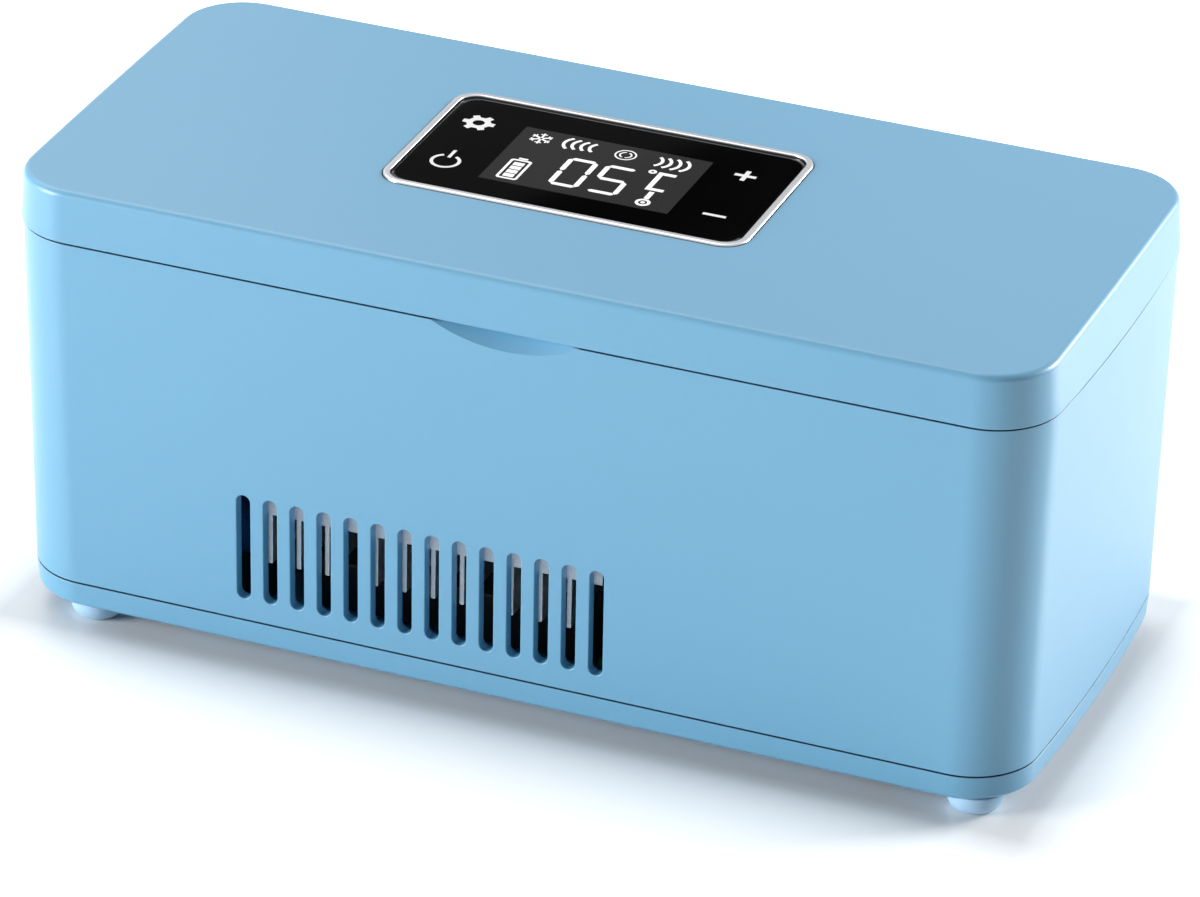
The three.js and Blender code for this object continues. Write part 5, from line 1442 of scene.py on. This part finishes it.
# %% The seal
SEAL_IN = -0.6 * MM
SEAL_OUT = SEAL_IN - 5 * MM
seal_z, seal_top = DECK_TOP + SEAT, INNER_Z - SEAT
seal = solid("lid_seal", loft_by(
    chamber_plan, (seal_z, SEAL_OUT, 0.8 * MM), (seal_top, SEAL_OUT, 0.3 * MM),
    (seal_top, SEAL_IN, 0.3 * MM), (seal_z, SEAL_IN, 0.8 * MM), closed=True))
finish_piece(seal, "lid", seal_rubber, ["lid_gasket"])

# %% [markdown]
# ## Cooling parts
# The heat sink is extruded across the case, so its fins are one blade repeated in three rows, with
# wider channels between the rows where the clamp screws pass.

# %% The heat sink
SINK_LENGTH = 70 * MM
FIN_TIP = 20.6 * MM
PLATE_TOP = 35.8 * MM
FIN = MM
FIN_PITCH = 5.75 * MM
FIN_CHANNEL = 9.75 * MM
SINK_DEPTH = DEPTH - 2 * (body_reach(FIN_TIP) + WALL + 1.2 * MM)
EDGE = 0.2 * MM


def bar_outline(length, depth):
    return plate_outline(length, depth, EDGE, steps=3)


sink = solid("heat_sink_body", slab(
    bar_outline(SINK_LENGTH, SINK_DEPTH), bar_outline(SINK_LENGTH - 2 * MM, SINK_DEPTH - 2 * MM),
    PLATE_Z, PLATE_TOP, EDGE))
outer_row = 1.5 * FIN_PITCH + FIN_CHANNEL + FIN_PITCH
for count, row_x in ((3, -outer_row), (4, 0), (3, outer_row)):
    fins = solid("fins", lofted([
        (bar_outline(FIN / 2, SINK_DEPTH), FIN_TIP, 0),
        (bar_outline(FIN, SINK_DEPTH), FIN_TIP, EDGE),
        (bar_outline(FIN, SINK_DEPTH), PLATE_Z + MM, 0),
    ]))
    copy_by(fins, row_tree, drawn_aluminium, Count=count, Pitch=FIN_PITCH)
    fins.data.transform(Matrix.Translation((row_x + FIN_SHIFT, 0, 0)))
    weld_on(sink, fins)
sink.data.transform(Matrix.Translation((THERMAL_X, 0, 0)))
clamp_places = corner_places(*CLAMPS, THERMAL_X + FIN_SHIFT)
cut(sink, "clamp_holes", *posts(M3_HOLE, clamp_places, PLATE_Z - MM, PLATE_TOP + MM, HOLE_SIDES))
finish_piece(sink, "case", drawn_aluminium, ["heat_sink"])

# %% The fan's frame
FAN = 60 * MM
FAN_HEIGHT = 10 * MM
FAN_BORE = 28.5 * MM
FAN_FLARE = 0.8 * MM
FAN_HUB = 14 * MM
FAN_PLATE = 1.8 * MM
FAN_BEARING = 1.8 * MM
FAN_LEAD_IN = 1.5 * MM
SPOKE_HALF = 1.5 * MM
fan_top = FAN_Z + FAN_HEIGHT
fan_edge = plate_outline(FAN, FAN, 3 * MM)
fan_cap = plate_outline(FAN - 2 * MM, FAN - 2 * MM, 2 * MM)
fan = solid("fan_housing", slab(fan_edge, fan_cap, FAN_Z, fan_top, 0.5 * MM))
mouth = FAN_BORE + FAN_FLARE
cut(fan, "bore", turned([
    (mouth, FAN_Z - MM, 0), (mouth, FAN_Z, 0), (FAN_BORE, FAN_Z + FAN_LEAD_IN, MM),
    (FAN_BORE, fan_top - FAN_LEAD_IN, MM), (mouth, fan_top, 0), (mouth, fan_top + MM, 0)], 96))
plate_top = FAN_Z + FAN_PLATE
spoke_end = FAN_BORE + 0.4 * MM
spoke = box(-spoke_end, spoke_end, -SPOKE_HALF, SPOKE_HALF, FAN_Z, plate_top)
for eighth in (1, 3):
    join(fan, "spoke", moved(spoke, Matrix.Rotation(eighth * math.pi / 4, 4, "Z")))
join(fan, "motor_plate", post(FAN_HUB, 0, 0, FAN_Z, plate_top, 64))
screw_places = corner_places(FAN_SCREWS, FAN_SCREWS)
cut(fan, "holes", *posts(FAN_HOLE, screw_places, FAN_Z - MM, fan_top + MM, HOLE_SIDES))
cut(fan, "bearing", post(FAN_BEARING, 0, 0, FAN_Z - MM, plate_top + MM, HOLE_SIDES))
fan.data.transform(Matrix.Translation((THERMAL_X, 0, 0)))
finish_piece(fan, "case", dark_abs, ["fan_frame"])

# %% The fan's rotor
ROTOR_GAP = 0.8 * MM
BLADE_COUNT = 7
BLADE_POINTS = 8
SHAFT = 1.5 * MM
HUB_CAP = FAN_HUB - 3 * MM
BLADE_TURN = 0.42
BLADE_SWEEP = 0.25
BLADE_STEPS = 12
BLADE_THICK = 2 * MM / FAN_HUB
rotor_z, rotor_top = plate_top + ROTOR_GAP, fan_top - ROTOR_GAP


def blade_outline(share):
    """A blade's section at a share of its height: out along one side and back along the other."""
    turn = BLADE_TURN * (share - 0.3 * share * (1 - share))
    inner_radius, outer_radius = FAN_HUB - BITE, FAN_BORE - ROTOR_GAP
    steps = [i / BLADE_POINTS for i in range(BLADE_POINTS + 1)]
    radii = [inner_radius + (outer_radius - inner_radius) * s for s in steps]
    out = [(r, turn + BLADE_SWEEP * s) for r, s in zip(radii, steps)]
    back = [(r, turn + BLADE_SWEEP * s + BLADE_THICK * (1 - s / 2)) for r, s in zip(radii, steps)]
    return [(r * math.cos(a), r * math.sin(a)) for r, a in out + back[::-1]]


shares = [i / BLADE_STEPS for i in range(BLADE_STEPS + 1)]
blade_levels = [(blade_outline(share), rotor_z + (rotor_top - rotor_z) * share, 0) for share in shares]
blades = solid("blades", lofted(blade_levels))
copy_by(blades, ring_tree, dark_abs, Count=BLADE_COUNT)
rotor = solid("fan_wheel", turned([
    (HUB_CAP, rotor_z, 0), (FAN_HUB, rotor_z, 0.5 * MM), (FAN_HUB, rotor_top, MM),
    (HUB_CAP, rotor_top, 0)], 64))
weld_on(rotor, blades)
join(rotor, "shaft", post(SHAFT, 0, 0, FAN_Z + SEAT, FAN_Z + FAN_HEIGHT / 2, HOLE_SIDES))
rotor.data.transform(Matrix.Translation((THERMAL_X, 0, 0)))
finish_piece(rotor, "fan_rotor", dark_abs, ["fan_rotor"])

# %% [markdown]
# ## Hinge pins and inlet
# The two pins are one steel bar set twice by the row tree. The power inlet is a block with a round
# collar that looks out of the rear wall.

# %% The hinge pins
PIN_ROUND = 0.3 * MM
pin_half = KNUCKLE_LENGTH / 2 + KNUCKLE_STEP
pins = solid("hinge_pins", bar_x(PIN, -pin_half, pin_half, REAR_Y, SEAM_Z, 32, PIN_ROUND))
copy_by(pins, row_tree, zinc_steel, Count=2, Pitch=2 * HINGE_X)
finish_piece(pins, "case", zinc_steel, ["hinge_pin_left", "hinge_pin_right"])

# %% The power inlet
JACK_REAR_Y = DEPTH / 2 - body_reach(BOARD_TOP) - WALL - GAP
JACK_FACE_Y = DEPTH / 2 - body_reach(JACK_Z) - GAP
JACK_BORE = 3.1 * MM
JACK_DEPTH = 9.5 * MM
JACK_CORNER = 0.5 * MM
JACK_HEIGHT = 11.1 * MM
JACK_MOUTH = JACK_BORE + 0.5 * MM
jack_y = JACK_REAR_Y - 7 * MM
jack_edge = plate_outline(9 * MM, 14 * MM, JACK_CORNER, JACK_X, jack_y, 4)
jack_cap = plate_outline(7 * MM, 12 * MM, JACK_CORNER, JACK_X, jack_y, 4)
jack_z, jack_top = BOARD_TOP + SEAT, BOARD_TOP + JACK_HEIGHT
jack = solid("power_inlet", slab(jack_edge, jack_cap, jack_z, jack_top, 0.4 * MM))
face_out = Matrix.Translation((JACK_X, JACK_FACE_Y, JACK_Z)) @ Matrix.Rotation(math.pi / 2, 4, "X")
collar = turned([
    (JACK_BORE + 0.3 * MM, 0, 0), (JACK_COLLAR, 0, 0.4 * MM), (JACK_COLLAR, 3 * MM, 0)], JACK_SIDES)
join(jack, "collar", moved(collar, face_out))
hole = turned([
    (JACK_MOUTH, -MM, 0), (JACK_MOUTH, 0, 0), (JACK_BORE, 0.5 * MM, 0), (JACK_BORE, JACK_DEPTH, 0)],
    JACK_SIDES)
cut(jack, "hole", moved(hole, face_out))
centre_pin = turned([(0.5 * MM, MM, 0), (MM, MM, 0.5 * MM), (MM, JACK_DEPTH + 0.5 * MM, 0)], HOLE_SIDES)
join(jack, "centre_pin", moved(centre_pin, face_out))
finish_piece(jack, "case", dark_abs, ["dc_jack"])

# %% [markdown]
# ## Finishes of the inner parts
# The parts that keep their CAD shape get the finish that their slot stands for.

# %% Carried-over nodes
slot_finish = {
    "blue_plastic": blue_shell,
    "white_plastic": white_liner,
    "black_plastic": dark_abs,
    "black_glass": panel_black,
    "lcd_grey": lcd_body,
    "bezel_silver": silver_trim,
    "aluminium": drawn_aluminium,
    "steel": zinc_steel,
    "foam": bead_foam,
    "seal_rubber": seal_rubber,
    "pale_rubber": pale_foot,
    "board_green": board_lacquer,
    "ceramic": ceramic,
    "cell_wrap": cell_wrap,
    "cable_grey": cable_skin,
}
for part in frame["record"]["subparts"]:
    node = frame["nodes"][part["node"]]
    node.data.materials.clear()
    node.data.materials.append(slot_finish[part["material_slot"]])
print("carried-over nodes dressed")
